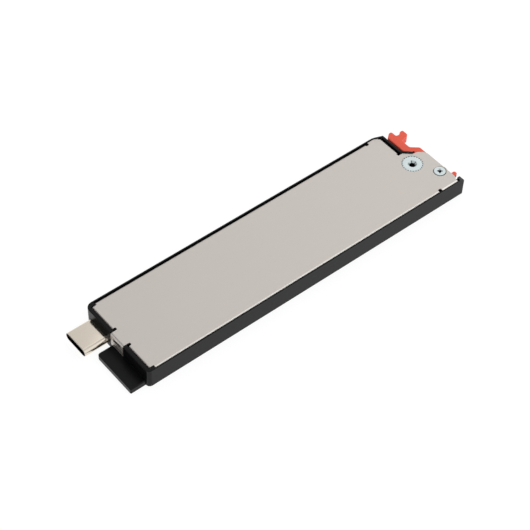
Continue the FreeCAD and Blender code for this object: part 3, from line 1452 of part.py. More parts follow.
def build_standoff(document, s):
    """Brass standoff that carries the end of the drive board."""
    standoff = Piece(document, "module_standoff")
    standoff.ring(
        s.module_x, s.middle, s.standoff_radius, s.standoff_bore,
        s.floor_thickness - s.standoff_sink, s.drive_under,
    )
    return standoff


def build_module_screw(document, s):
    """Flat headed screw that clamps the drive board to its standoff."""
    screw = Piece(document, "module_screw")
    shank = s.standoff_bore - s.thread_gap
    head_top = s.drive_top + s.module_screw_head_height
    tip = s.drive_top - s.module_screw_length
    profile = [
        (0, tip),
        (shank, tip),
        (shank, s.drive_top),
        (s.module_screw_head_radius, s.drive_top),
        (s.module_screw_head_radius, head_top),
        (0, head_top),
    ]
    screw.turned(profile, s.module_x, s.middle)
    half_length, half_width = s.cross_length / 2, s.drive_slot_width / 2
    low, high = head_top - s.drive_slot_depth, head_top + s.beyond
    screw.cut_block(s.module_x - half_length, s.module_x + half_length,
                    s.middle - half_width, s.middle + half_width, low, high)
    screw.cut_block(s.module_x - half_width, s.module_x + half_width,
                    s.middle - half_length, s.middle + half_length, low, high)
    return screw


def build_adapter_parts(document, s):
    """What sits on the adapter board."""
    x, top = s.near + s.chip_start, s.board_top
    chips = [
        ("bridge_chip", s.middle + s.bridge_offset, s.bridge_size, s.bridge_size,
         s.bridge_height),
        ("crystal", s.middle - s.crystal_offset, s.crystal_length, s.crystal_width,
         s.crystal_height),
        ("power_inductor", s.middle - s.inductor_offset, s.inductor_size, s.inductor_size,
         s.inductor_height),
    ]
    made = []
    for label, y, length, width, height in chips:
        made.append(build_chip(document, s, label, x, y, length, width, top, height))
    row_x = x + s.inductor_size + s.capacitor_width
    row_y = s.middle - s.inductor_offset
    made.append(build_capacitors(document, s, "adapter_capacitors", row_x, row_y, top))
    made.append(build_socket(document, s))
    contact_base = s.drive_top + s.finger_thickness
    made.append(build_fingers(
        document, s, "socket_contacts", contact_base, s.spring_contact_thickness,
        s.edge_insertion, s.edge_x,
    ))
    return made


def build_drive_parts(document, s):
    """What sits on the drive board."""
    edge, middle, top = s.edge_x, s.middle, s.drive_top
    memory_x = edge + s.memory_start
    chips = [
        ("controller_chip", edge + s.controller_from_edge, middle, s.controller_size,
         s.controller_size, s.chip_height),
        ("cache_chip", edge + s.cache_from_edge, middle, s.cache_length, s.cache_width,
         s.chip_height),
        ("memory_chip_near", memory_x, middle, s.memory_length, s.memory_width,
         s.chip_height),
        ("memory_chip_far", memory_x + s.memory_pitch, middle, s.memory_length,
         s.memory_width, s.chip_height),
        ("power_chip", edge + s.power_chip_from_edge, middle - s.power_chip_offset,
         s.power_chip_size, s.power_chip_size, s.power_chip_height),
    ]
    made = []
    for label, x, y, length, width, height in chips:
        made.append(build_chip(document, s, label, x, y, length, width, top, height))
    row_x = edge + s.drive_capacitor_start
    made.append(build_capacitors(document, s, "drive_capacitors", row_x, middle, top))
    made.append(build_fingers(
        document, s, "edge_fingers", top, s.finger_thickness, s.finger_length,
        edge + s.finger_lead,
    ))
    return made


def build_all(document, s):
    """Every physical piece of the canister."""
    pieces = [
        build_tray(document, s),
        build_cover(document, s),
        build_lever(document, s),
        build_pivot_post(document, s),
        build_washer(document, s),
        build_cover_screw(document, s),
        build_cover_insert(document, s),
        build_plug_shell(document, s),
        build_insulator(document, s),
        build_plug_contacts(document, s, "plug_contacts_lower", 0),
        build_plug_contacts(document, s, "plug_contacts_upper", 1),
        build_adapter_board(document, s),
        build_drive_board(document, s),
        build_thermal_pad(document, s),
        build_film(document, s),
        build_standoff(document, s),
        build_module_screw(document, s),
    ]
    pieces += build_adapter_parts(document, s)
    pieces += build_drive_parts(document, s)
    return [piece.body for piece in pieces] + [build_spring(document, s)]


def check(document, items):
    """Stop on any failed feature, and on any piece whose shape isn't closed and valid."""
    document.recompute()
    for item in document.Objects:
        if "Invalid" in item.State or "Error" in item.State:
            raise RuntimeError(f"{item.Name} failed: {item.State}")
    for item in items:
        shape = item.Shape
        if shape.isNull() or not shape.isValid() or shape.Volume <= 0:
            raise RuntimeError(f"{item.Label} has no valid solid")
        print(f"{item.Label}: {len(shape.Solids)} solids, {shape.Volume:.2f} mm3")


def main():
    document = FreeCAD.newDocument("canister")
    sizes = add_places(write_sheet(document))
    items = build_all(document, sizes)
    check(document, items)
    os.makedirs("parts", exist_ok=True)
    for item in items:
        item.Shape.exportStep(os.path.join("parts", f"{item.Label}.step"))


main()
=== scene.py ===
"""Looks of a slim solid state drive canister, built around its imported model.

Metres throughout: +X runs from the plug to the latch and +Z up through the cover.
"""

import json
import logging
import math
from dataclasses import dataclass
from enum import Enum

import bmesh
import bpy
import numpy as np
from mathutils import Matrix, Vector


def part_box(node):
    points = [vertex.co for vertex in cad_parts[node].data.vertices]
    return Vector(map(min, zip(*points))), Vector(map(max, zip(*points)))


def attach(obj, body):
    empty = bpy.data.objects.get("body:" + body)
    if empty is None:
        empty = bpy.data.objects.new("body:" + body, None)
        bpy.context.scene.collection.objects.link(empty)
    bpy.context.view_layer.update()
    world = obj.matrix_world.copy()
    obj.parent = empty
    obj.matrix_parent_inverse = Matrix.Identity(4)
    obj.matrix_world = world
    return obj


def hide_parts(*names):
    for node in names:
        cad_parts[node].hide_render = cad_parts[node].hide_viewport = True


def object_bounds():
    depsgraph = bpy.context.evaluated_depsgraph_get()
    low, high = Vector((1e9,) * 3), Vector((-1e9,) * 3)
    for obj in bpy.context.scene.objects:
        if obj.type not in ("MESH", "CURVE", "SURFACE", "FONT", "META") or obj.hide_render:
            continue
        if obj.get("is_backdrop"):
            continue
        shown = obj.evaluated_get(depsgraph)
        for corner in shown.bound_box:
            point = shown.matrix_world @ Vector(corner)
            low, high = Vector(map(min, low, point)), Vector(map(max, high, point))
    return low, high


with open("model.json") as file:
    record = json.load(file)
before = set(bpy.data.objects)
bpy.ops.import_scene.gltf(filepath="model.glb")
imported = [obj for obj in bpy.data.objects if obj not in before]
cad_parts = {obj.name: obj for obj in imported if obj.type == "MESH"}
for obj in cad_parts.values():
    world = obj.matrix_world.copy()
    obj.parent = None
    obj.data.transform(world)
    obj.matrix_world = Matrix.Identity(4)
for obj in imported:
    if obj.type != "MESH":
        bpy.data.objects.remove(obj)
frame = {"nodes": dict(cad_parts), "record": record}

log = logging.getLogger("canister")

MM = 0.001
STARTUP_OBJECTS = ("Cube", "Camera", "Light")
# Attribute of a mesh's points that says how much painted shade lies there, in recesses and as dark
# reflections.
RESIDUE = "residue"
# Points nearer to each other than this become one.
MERGE_WITHIN = 0.0005 * MM
# Degrees from which an edge of a new piece is shaded sharp.
CREASE = 35.0
# Octaves of the noise behind the fine grain and behind the broad clouds.
GRAIN_DETAIL = 2.0
CLOUD_DETAIL = 3.0


def linear(code: str) -> tuple[float, float, float, float]:
    """Turn an sRGB hex colour into the linear values that shaders take.

    Args:
        code: six hex digits after a hash sign.

    Returns:
        Red, green, blue and an alpha of one.
    """
    channels = (int(code[i : i + 2], 16) / 255 for i in (1, 3, 5))
    red, green, blue = (
        c / 12.92 if c <= 0.04045 else ((c + 0.055) / 1.055) ** 2.4 for c in channels
    )
    return red, green, blue, 1.0


def add(
    tree: bpy.types.NodeTree,
    kind: str,
    values: dict | None = None,
    links: dict | None = None,
    **settings: object,
) -> bpy.types.Node:
    """Add one shader node.

    Args:
        tree: the node tree that takes it.
        kind: the node's type, such as ShaderNodeBump.
        values: socket name or number to constant value.
        links: socket name or number to the output socket that feeds it.
        settings: the node's own options.

    Returns:
        The new node.
    """
    node = tree.nodes.new(kind)
    for name, value in settings.items():
        setattr(node, name, value)
    for name, value in (values or {}).items():
        node.inputs[name].default_value = value
    for name, output in (links or {}).items():
        tree.links.new(output, node.inputs[name])
    return node


class Grain(Enum):
    """How the fine texture of a surface runs, as its scale along X, Y and Z."""

    EVEN = (1.0, 1.0, 1.0)
    ALONG = (0.04, 1.0, 1.0)


@dataclass(frozen=True)
class Finish:
    """One finish: fine grain in gloss and relief, and broad clouds in colour and gloss.

    Attributes:
        name: the material's name, after the real one.
        colour: base colour as sRGB hex.
        cloud_colour: the colour that the broad clouds lean towards.
        metallic: one for bare metal.
        roughness: middle of the roughness.
        roughness_swing: how far the grain moves the roughness either way.
        cloud_swing: how far the clouds raise the roughness.
        ior: index of refraction, for anything but metal.
        grain_mm: size of the fine grain.
        grain_depth_mm: height of the fine grain.
        cloud_mm: size of the broad clouds.
        grain: how the grain runs.
        residue_colour: painted shade where a piece's residue attribute is one, or none.
        burnished_colour: painted highlight along the bend of the right side, or none.
        burnished_mm: distances from the middle plane between which that painted highlight comes
            in.
    """

    name: str
    colour: str
    cloud_colour: str
    metallic: float = 0.0
    roughness: float = 0.4
    roughness_swing: float = 0.05
    cloud_swing: float = 0.03
    ior: float = 1.45
    grain_mm: float = 0.25
    grain_depth_mm: float = 0.004
    cloud_mm: float = 12.0
    grain: Grain = Grain.EVEN
    residue_colour: str | None = None
    burnished_colour: str | None = None
    burnished_mm: tuple[float, float] = (12.2, 12.45)

    def material(self) -> bpy.types.Material:
        """Make the material, whose patterns read Object coordinates.

        Returns:
            The new material.
        """
        made = bpy.data.materials.new(self.name)
        made.use_nodes = True
        tree = made.node_tree
        tree.nodes.clear()
        place = add(tree, "ShaderNodeTexCoord")
        along = add(
            tree, "ShaderNodeMapping",
            {"Scale": self.grain.value}, {"Vector": place.outputs["Object"]},
        )
        fine = add(
            tree, "ShaderNodeTexNoise",
            {"Scale": 1 / (self.grain_mm * MM), "Detail": GRAIN_DETAIL},
            {"Vector": along.outputs["Vector"]},
        )
        broad = add(
            tree, "ShaderNodeTexNoise",
            {"Scale": 1 / (self.cloud_mm * MM), "Detail": CLOUD_DETAIL},
            {"Vector": place.outputs["Object"]},
        )
        swing = self.roughness_swing
        fine_gloss = add(
            tree, "ShaderNodeMapRange",
            {"To Min": self.roughness - swing, "To Max": self.roughness + swing},
            {"Value": fine.outputs["Fac"]},
        )
        gloss = add(
            tree, "ShaderNodeMath", {1: self.cloud_swing},
            {0: broad.outputs["Fac"], 2: fine_gloss.outputs["Result"]},
            operation="MULTIPLY_ADD",
        )
        tint = add(
            tree, "ShaderNodeMix",
            {6: linear(self.colour), 7: linear(self.cloud_colour)},
            {0: broad.outputs["Fac"]}, data_type="RGBA",
        )
        # A painted highlight: a lighter colour along the right bend.
        if self.burnished_colour:
            axes = add(tree, "ShaderNodeSeparateXYZ", links={0: place.outputs["Object"]})
            start, end = (distance * -MM for distance in self.burnished_mm)
            bend = add(
                tree, "ShaderNodeMapRange", {"From Min": start, "From Max": end},
                {"Value": axes.outputs["Y"]}, interpolation_type="SMOOTHSTEP",
            )
            tint = add(
                tree, "ShaderNodeMix", {7: linear(self.burnished_colour)},
                {0: bend.outputs["Result"], 6: tint.outputs[2]}, data_type="RGBA",
            )
        # Painted shade, where a piece's attribute says so.
        if self.residue_colour:
            residue = add(tree, "ShaderNodeAttribute", attribute_name=RESIDUE)
            tint = add(
                tree, "ShaderNodeMix", {7: linear(self.residue_colour)},
                {0: residue.outputs["Fac"], 6: tint.outputs[2]}, data_type="RGBA",
            )
        relief = add(
            tree, "ShaderNodeBump",
            {"Strength": 1.0, "Distance": self.grain_depth_mm * MM},
            {"Height": fine.outputs["Fac"]},
        )
        constants = {"Metallic": self.metallic}
        if not self.metallic:
            constants["IOR"] = self.ior
        surface = add(
            tree, "ShaderNodeBsdfPrincipled", constants,
            {
                "Base Color": tint.outputs[2],
                "Roughness": gloss.outputs[0],
                "Normal": relief.outputs["Normal"],
            },
        )
        add(tree, "ShaderNodeOutputMaterial", links={"Surface": surface.outputs["BSDF"]})
        return made


# Every fine grain stands for a finer one that wouldn't show at the photograph's size.
FINISHES = {
    # Glass filled nylon from a spark eroded mould: deep black, satin, with a weak soft gloss.
    "tray_plastic": Finish(
        "black_glass_filled_nylon", "#0b0b0c", "#0f0f10", roughness=0.3, ior=1.24,
    ),
    # Cold rolled stainless, annealed and pickled: pale warm grey, matt, faintly streaked along
    # X, with a painted highlight along its right bend.
    "cover_steel": Finish(
        "pickled_stainless_sheet", "#d0cac4", "#d4cec8", metallic=1.0, roughness=0.45,
        roughness_swing=0.03, grain_mm=0.3, grain_depth_mm=0.0012, grain=Grain.ALONG,
        # A lighter colour on the right bend: a painted highlight.
        burnished_colour="#fbf8f2",
    ),
    # Pigmented ABS, moulded: strong orange red with a soft sheen.
    "latch_plastic": Finish(
        "orange_red_abs", "#f45d46", "#f6624a", roughness=0.42, ior=1.36, cloud_mm=6.0,
    ),
    # Bright zinc on turned steel: pale and slightly blue, mottled, with painted shade in its
    # grooves and hollows.
    "zinc_steel": Finish(
        "bright_zinc_plate", "#d2dcdd", "#cdd7d9", metallic=1.0, roughness=0.3,
        grain_depth_mm=0.002, cloud_mm=1.5, residue_colour="#3f4243",
    ),
    # Nickel on drawn steel: warm, smoother than the sheet, drawn along X, with painted shade
    # inside the mouth.
    "plug_steel": Finish(
        "nickel_plated_drawn_steel", "#e9dfd1", "#e2d9ca", metallic=1.0, roughness=0.12,
        roughness_swing=0.03, grain_depth_mm=0.0004, cloud_mm=4.0, grain=Grain.ALONG,
        residue_colour="#141312",
    ),
    # Natural nylon: milky and waxy.
    "nylon": Finish("natural_nylon", "#e4e0d4", "#dedac9", roughness=0.5),
    # Hard drawn music wire: grey, with a drawn gloss.
    "spring_steel": Finish(
        "hard_drawn_wire", "#a0a0a2", "#8e8e92", metallic=1.0, roughness=0.3, cloud_mm=2.0,
    ),
    # Free cutting brass, turned: yellow, with fine tool marks.
    "brass": Finish(
        "turned_brass", "#cfa75a", "#c79c4e", metallic=1.0, roughness=0.3, cloud_mm=2.0,
    ),
    # Liquid crystal polymer: black with a dry surface.
    "insulator_plastic": Finish(
        "black_liquid_crystal_polymer", "#121212", "#171717", roughness=0.5, cloud_mm=3.0,
    ),
    # Gold flash over nickel: deep yellow, bright.
    "gold_plate": Finish(
        "gold_flash", "#e0b865", "#d8ae58", metallic=1.0, roughness=0.25, cloud_mm=1.0,
    ),
    # Glass laminate under green solder mask: dark green, glossy, over a faint weave.
    "board_laminate": Finish(
        "green_solder_mask", "#0d4a2c", "#115433", roughness=0.35, grain_mm=0.4, cloud_mm=5.0,
    ),
    # Epoxy moulding compound: charcoal, blasted matt.
    "chip_resin": Finish(
        "epoxy_moulding_compound", "#1c1c1e", "#222224", roughness=0.6, cloud_mm=4.0,
    ),
    # Nickel lid of a crystal: pale and even.
    "can_metal": Finish(
        "nickel_lid", "#c9c4b8", "#c2bdb2", metallic=1.0, roughness=0.3, cloud_mm=1.0,
    ),
    # Sintered ferrite: dull dark grey with visible grit.
    "ferrite": Finish(
        "sintered_ferrite", "#3a3a3a", "#444444", roughness=0.7, grain_depth_mm=0.01, cloud_mm=1.0,
    ),
    # Barium titanate ceramic: tan and slightly glazed.
    "capacitor_ceramic": Finish(
        "tan_titanate_ceramic", "#a98a63", "#9f8059", roughness=0.5, cloud_mm=0.6,
    ),
    # Filled silicone: chalky blue, soft, with a coarse filler.
    "pad_silicone": Finish(
        "filled_silicone", "#8fa3b5", "#97aaba", roughness=0.8, grain_depth_mm=0.012, cloud_mm=3.0,
    ),
    # Polyester film: black and sleek.
    "film_polyester": Finish(
        "black_polyester_film", "#1a1a1a", "#1e1e1e", roughness=0.3, cloud_mm=8.0,
    ),
}


def grid_mesh(
    name: str, points: np.ndarray, closed_rows: bool, residue: np.ndarray | None = None
) -> bpy.types.Mesh:
    """Make a mesh from a grid of points that closes round its columns.

    Four neighbours of the grid make one face. Points that fall together, as at a pole, are
    merged, and edges that turn by more than CREASE degrees stay sharp.

    Args:
        name: the mesh's name.
        points: rows by columns by three coordinates.
        closed_rows: whether the last row joins the first.
        residue: rows by columns, how much painted shade lies at each point.

    Returns:
        The finished mesh with its faces pointing outwards.
    """
    rows, columns, _ = points.shape
    row = np.arange(rows if closed_rows else rows - 1)[:, None]
    place = np.arange(columns)[None, :]
    next_row = (row + 1) % rows
    next_place = (place + 1) % columns
    corners = (
        row * columns + place,
        row * columns + next_place,
        next_row * columns + next_place,
        next_row * columns + place,
    )
    quads = np.stack(corners, axis=-1).reshape(-1, 4)
    mesh = bpy.data.meshes.new(name)
    mesh.from_pydata(points.reshape(-1, 3).tolist(), [], quads.tolist())
    if residue is not None:
        layer = mesh.attributes.new(RESIDUE, "FLOAT", "POINT")
        layer.data.foreach_set("value", residue.astype(np.float32).ravel())
    tidy_mesh(mesh, CREASE)
    return mesh


def tidy_mesh(mesh: bpy.types.Mesh, sharp_from: float, flat_within: float = 0.0) -> None:
    """Merge a mesh's doubles, point its faces outwards and set which edges stay sharp.

    Args:
        mesh: the mesh to change.
        sharp_from: degrees from which an edge stays sharp.
        flat_within: degrees within which neighbouring faces become one, or zero for none.
    """
    form = bmesh.new()
    form.from_mesh(mesh)
    bmesh.ops.remove_doubles(form, verts=form.verts, dist=MERGE_WITHIN)
    if flat_within:
        bmesh.ops.dissolve_limit(
            form, angle_limit=math.radians(flat_within), verts=form.verts, edges=form.edges
        )
    bmesh.ops.recalc_face_normals(form, faces=form.faces)
    form.to_mesh(mesh)
    form.free()
    mesh.polygons.foreach_set("use_smooth", np.ones(len(mesh.polygons), dtype=bool))
    mesh.set_sharp_from_angle(angle=math.radians(sharp_from))


def column(
    rows: bpy.types.bpy_prop_collection, name: str, width: int = 1, dtype: type = float
) -> np.ndarray:
    """Read one property of all vertices, edges, corners or faces of a mesh.

    Args:
        rows: the collection.
        name: the property.
        width: how many values it has in each row.
        dtype: their type.

    Returns:
        One value for each row, or rows by width.
    """
    values = np.empty(len(rows) * width, dtype=dtype)
    rows.foreach_get(name, values)
    return values if width == 1 else values.reshape(-1, width)


def smooth_step(low: float, high: float, value: np.ndarray) -> np.ndarray:
    """Ease from 0 at low to 1 at high: three times the square less twice the cube."""
    share = np.clip((value - low) / (high - low), 0.0, 1.0)
    return share * share * (3.0 - 2.0 * share)


def rounded(
    corner: tuple, radius: float, start: float, sweep: float = 90.0, steps: int = 6
) -> np.ndarray:
    """Points of a rounding of a profile, on an arc.

    Args:
        corner: centre of the arc.
        radius: its radius.
        start: angle at which it starts, in degrees.
        sweep: how many degrees it runs clockwise from there.
        steps: how many points it has.

    Returns:
        Steps by two coordinates.
    """
    angle = np.radians(start - np.linspace(0.0, sweep, steps))
    return np.array(corner) + radius * np.stack([np.cos(angle), np.sin(angle)], axis=-1)


def turned(profile: np.ndarray, columns: int) -> tuple[np.ndarray, np.ndarray]:
    """Carry a profile of (radius, height) round the Z axis.

    Args:
        profile: rows by two.
        columns: how many steps the turn has.

    Returns:
        The grid of points, and the angle of each column.
    """
    angle = np.linspace(0.0, 2 * math.pi, columns, endpoint=False)
    radius, height = profile[:, 0, None], profile[:, 1, None]
    points = (radius * np.cos(angle), radius * np.sin(angle), height + 0 * angle)
    return np.stack(points, axis=-1), angle


class Workshop:
    """The materials by slot, and how a piece gets its own."""

    def __init__(self) -> None:
        """Make every material and look up the slot and body of each node."""
        self.materials = {slot: finish.material() for slot, finish in FINISHES.items()}
        rows = frame["record"]["subparts"]
        self.slots = {row["node"]: row["material_slot"] for row in rows}
        bodies = frame["record"]["behaviour"]["bodies"]
        self.bodies = {node: body for body, nodes in bodies.items() for node in nodes}

    def coat(self, *nodes: str) -> None:
        """Give solids that are shown as they are their materials.

        Args:
            nodes: names of the solids.
        """
        for node in nodes:
            mesh = frame["nodes"][node].data
            mesh.materials.clear()
            mesh.materials.append(self.materials[self.slots[node]])
            log.info("%s: %s", node, self.slots[node])

    def hang(self, mesh: bpy.types.Mesh, node: str) -> bpy.types.Object:
        """Put a new piece in the place of a solid, on its body and in its finish.

        Args:
            mesh: the new piece's mesh.
            node: the solid that it stands for.

        Returns:
            The new piece.
        """
        made = bpy.data.objects.new(mesh.name, mesh)
        bpy.context.scene.collection.objects.link(made)
        mesh.materials.append(self.materials[self.slots[node]])
        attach(made, self.bodies[node])
        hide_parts(node)
        log.info("%s for %s: %d faces", mesh.name, node, len(mesh.polygons))
        return made


@dataclass
class Housing:
    """Moulded tray and folded steel cover, whose solids have every bend and edge.

    Attributes:
        solids: the two solids.
    """

    solids: tuple[str, ...] = ("tray", "cover_plate")

    def build(self, shop: Workshop) -> None:
        """Coat both in the finishes of their slots."""
        shop.coat(*self.solids)


@dataclass
class Plug:
    """Plug: a drawn shell with a rolled mouth round its moulded body and contacts.

    Attributes:
        sheet: thickness of the shell.
        outer_roll: rounding of the mouth's outer edge.
        inner_roll: rounding of the mouth's inner edge.
        half_turn: points on each rounded side.
        dark_from: share of the outer rolling's depth at which the painted shade inside the mouth
            begins.
        inside: solids inside the shell.
    """

    sheet: float = 0.3 * MM
    outer_roll: float = 0.1 * MM
    inner_roll: float = 0.08 * MM
    half_turn: int = 33
    dark_from: float = 0.5
    inside: tuple[str, ...] = ("plug_insulator", "plug_contacts_lower", "plug_contacts_upper")

    def section(self) -> tuple[np.ndarray, np.ndarray]:
        """Directions and side shifts round the stadium: two half circles, moved apart.

        Returns:
            Unit directions in Y and Z, and the side on which each stands.
        """
        side = np.repeat([1.0, -1.0], self.half_turn)
        angle = np.linspace(-90.0, 90.0, self.half_turn)
        angle = np.radians(np.concatenate([angle, angle + 180.0]))
        return np.stack([np.cos(angle), np.sin(angle)], axis=-1), side

    def profile(self, mouth: float, tail: float) -> np.ndarray:
        """Walk along the outside, over the mouth's two roundings and back inside.

        Args:
            mouth: the mouth's X.
            tail: the hidden end's X.

        Returns:
            Rows of X and depth below the outside.
        """
        outer = rounded((mouth + self.outer_roll, self.outer_roll), self.outer_roll, 270.0)
        centre = (mouth + self.inner_roll, self.sheet - self.inner_roll)
        inner = rounded(centre, self.inner_roll, 180.0)
        return np.concatenate([[(tail, 0.0)], outer, inner, [(tail, self.sheet)]])

    def build(self, shop: Workshop) -> None:
        """Carry the stadium along the profile, and coat what is inside.

        A point stands at the stadium's middle, plus the shift of its side, plus the radius
        less the profile's depth in its direction.

        Args:
            shop: what coats and hangs the pieces.
        """
        low, high = (np.array(corner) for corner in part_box("plug_shell"))
        middle = (low + high) / 2
        radius = (high[2] - low[2]) / 2
        spread = (high[1] - low[1]) / 2 - radius
        direction, side = self.section()
        profile = self.profile(low[0], high[0])
        reach = (radius - profile[:, 1])[:, None]
        points = np.stack(
            [
                profile[:, 0, None] + 0 * side,
                middle[1] + side * spread + reach * direction[:, 0],
                middle[2] + reach * direction[:, 1],
            ],
            axis=-1,
        )
        depth = np.repeat(profile[:, 1, None], len(side), axis=1)
        # Painted shade inside the mouth, from part way round the outer rolling.
        residue = smooth_step(self.outer_roll * self.dark_from, self.outer_roll, depth)
        shop.hang(grid_mesh("rolled_plug_shell", points, True, residue), "plug_shell")
        shop.coat(*self.inside)


@dataclass
class CoverScrew:
    """Countersunk screw with a tapering cross recess, and the insert that takes it.

    Attributes:
        head: radius of the head.
        rim: straight side of the head.
        shank: radius of the shank.
        edge_roll: rounding of the head's rim.
        arm: half the length of the cross.
        half_width: half the width of an arm.
        depth: depth of the arms at the middle.
        rise: share of their depth by which the arms rise to their tips.
        well: radius of the middle.
        well_floor: share of the arms' depth that all of the middle has.
        well_depth: how much deeper the middle is.
        slope: run over which the recess's walls fall.
        turn: degrees by which the cross is turned.
        dirt: shares of the recess's depth between which painted shade sets in.
        rings: rows of points across the head's face.
        steps: points round the screw.
    """

    head: float = 1.6 * MM
    rim: float = 0.1 * MM
    shank: float = 0.75 * MM
    edge_roll: float = 0.08 * MM
    arm: float = 0.82 * MM
    half_width: float = 0.21 * MM
    depth: float = 0.65 * MM
    rise: float = 0.8
    well: float = 0.52 * MM
    well_floor: float = 0.6
    well_depth: float = 0.3 * MM
    slope: float = 0.07 * MM
    turn: float = 50.0
    dirt: tuple[float, float] = (0.1, 0.9)
    rings: int = 70
    steps: int = 144

    def recess(self, x: np.ndarray, y: np.ndarray) -> np.ndarray:
        """Depth of the recess: the deeper of two crossing arms, and a round well on top.

        Args:
            x: distances from the screw's axis.
            y: distances from the screw's axis.

        Returns:
            How far each point lies below the head's face.
        """
        turn = math.radians(self.turn)
        u = x * math.cos(turn) + y * math.sin(turn)
        v = y * math.cos(turn) - x * math.sin(turn)
        arms = []
        for along, across in ((u, v), (v, u)):
            width = 1 - smooth_step(self.half_width - self.slope, self.half_width, np.abs(across))
            length = 1 - smooth_step(self.arm - self.slope, self.arm, np.abs(along))
            arms.append(width * length)
        distance = np.hypot(x, y)
        taper = 1 - self.rise * np.clip(distance / self.arm, 0, 1)
        well = 1 - smooth_step(self.well - self.slope * 2, self.well, distance)
        cross = np.maximum(arms[0], arms[1]) * self.depth * taper
        floor = well * self.depth * self.well_floor
        return np.maximum(cross, floor) + well * self.well_depth

    def build(self, shop: Workshop) -> None:
        """Turn the head, sink the recess into it and add the cone and the shank.

        Args:
            shop: what coats and hangs the pieces.
        """
        low, high = (np.array(corner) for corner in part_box("cover_screw"))
        middle, top = (low + high) / 2, high[2]
        face = np.linspace(0.0, self.head - self.edge_roll, self.rings)
        face = np.stack([face, np.full_like(face, top)], axis=-1)
        edge = rounded((self.head - self.edge_roll, top - self.edge_roll), self.edge_roll, 90.0)
        cone_top = top - self.rim
        body = [
            (self.head, cone_top),
            (self.shank, cone_top - (self.head - self.shank)),
            (self.shank, low[2]),
            (0.0, low[2]),
        ]
        points, _ = turned(np.concatenate([face, edge, np.array(body)]), self.steps)
        sunk = points[: len(face)]
        depth = self.recess(sunk[..., 0], sunk[..., 1])
        sunk[..., 2] -= depth
        residue = np.zeros(points.shape[:2])
        # Painted shade in the recess, darker the deeper it goes.
        residue[: len(face)] = smooth_step(*self.dirt, depth / self.depth)
        points[..., :2] += middle[:2]
        mesh = grid_mesh("cross_recess_screw", points, False, residue)
        shop.hang(mesh, "cover_screw")
        shop.coat("cover_insert")


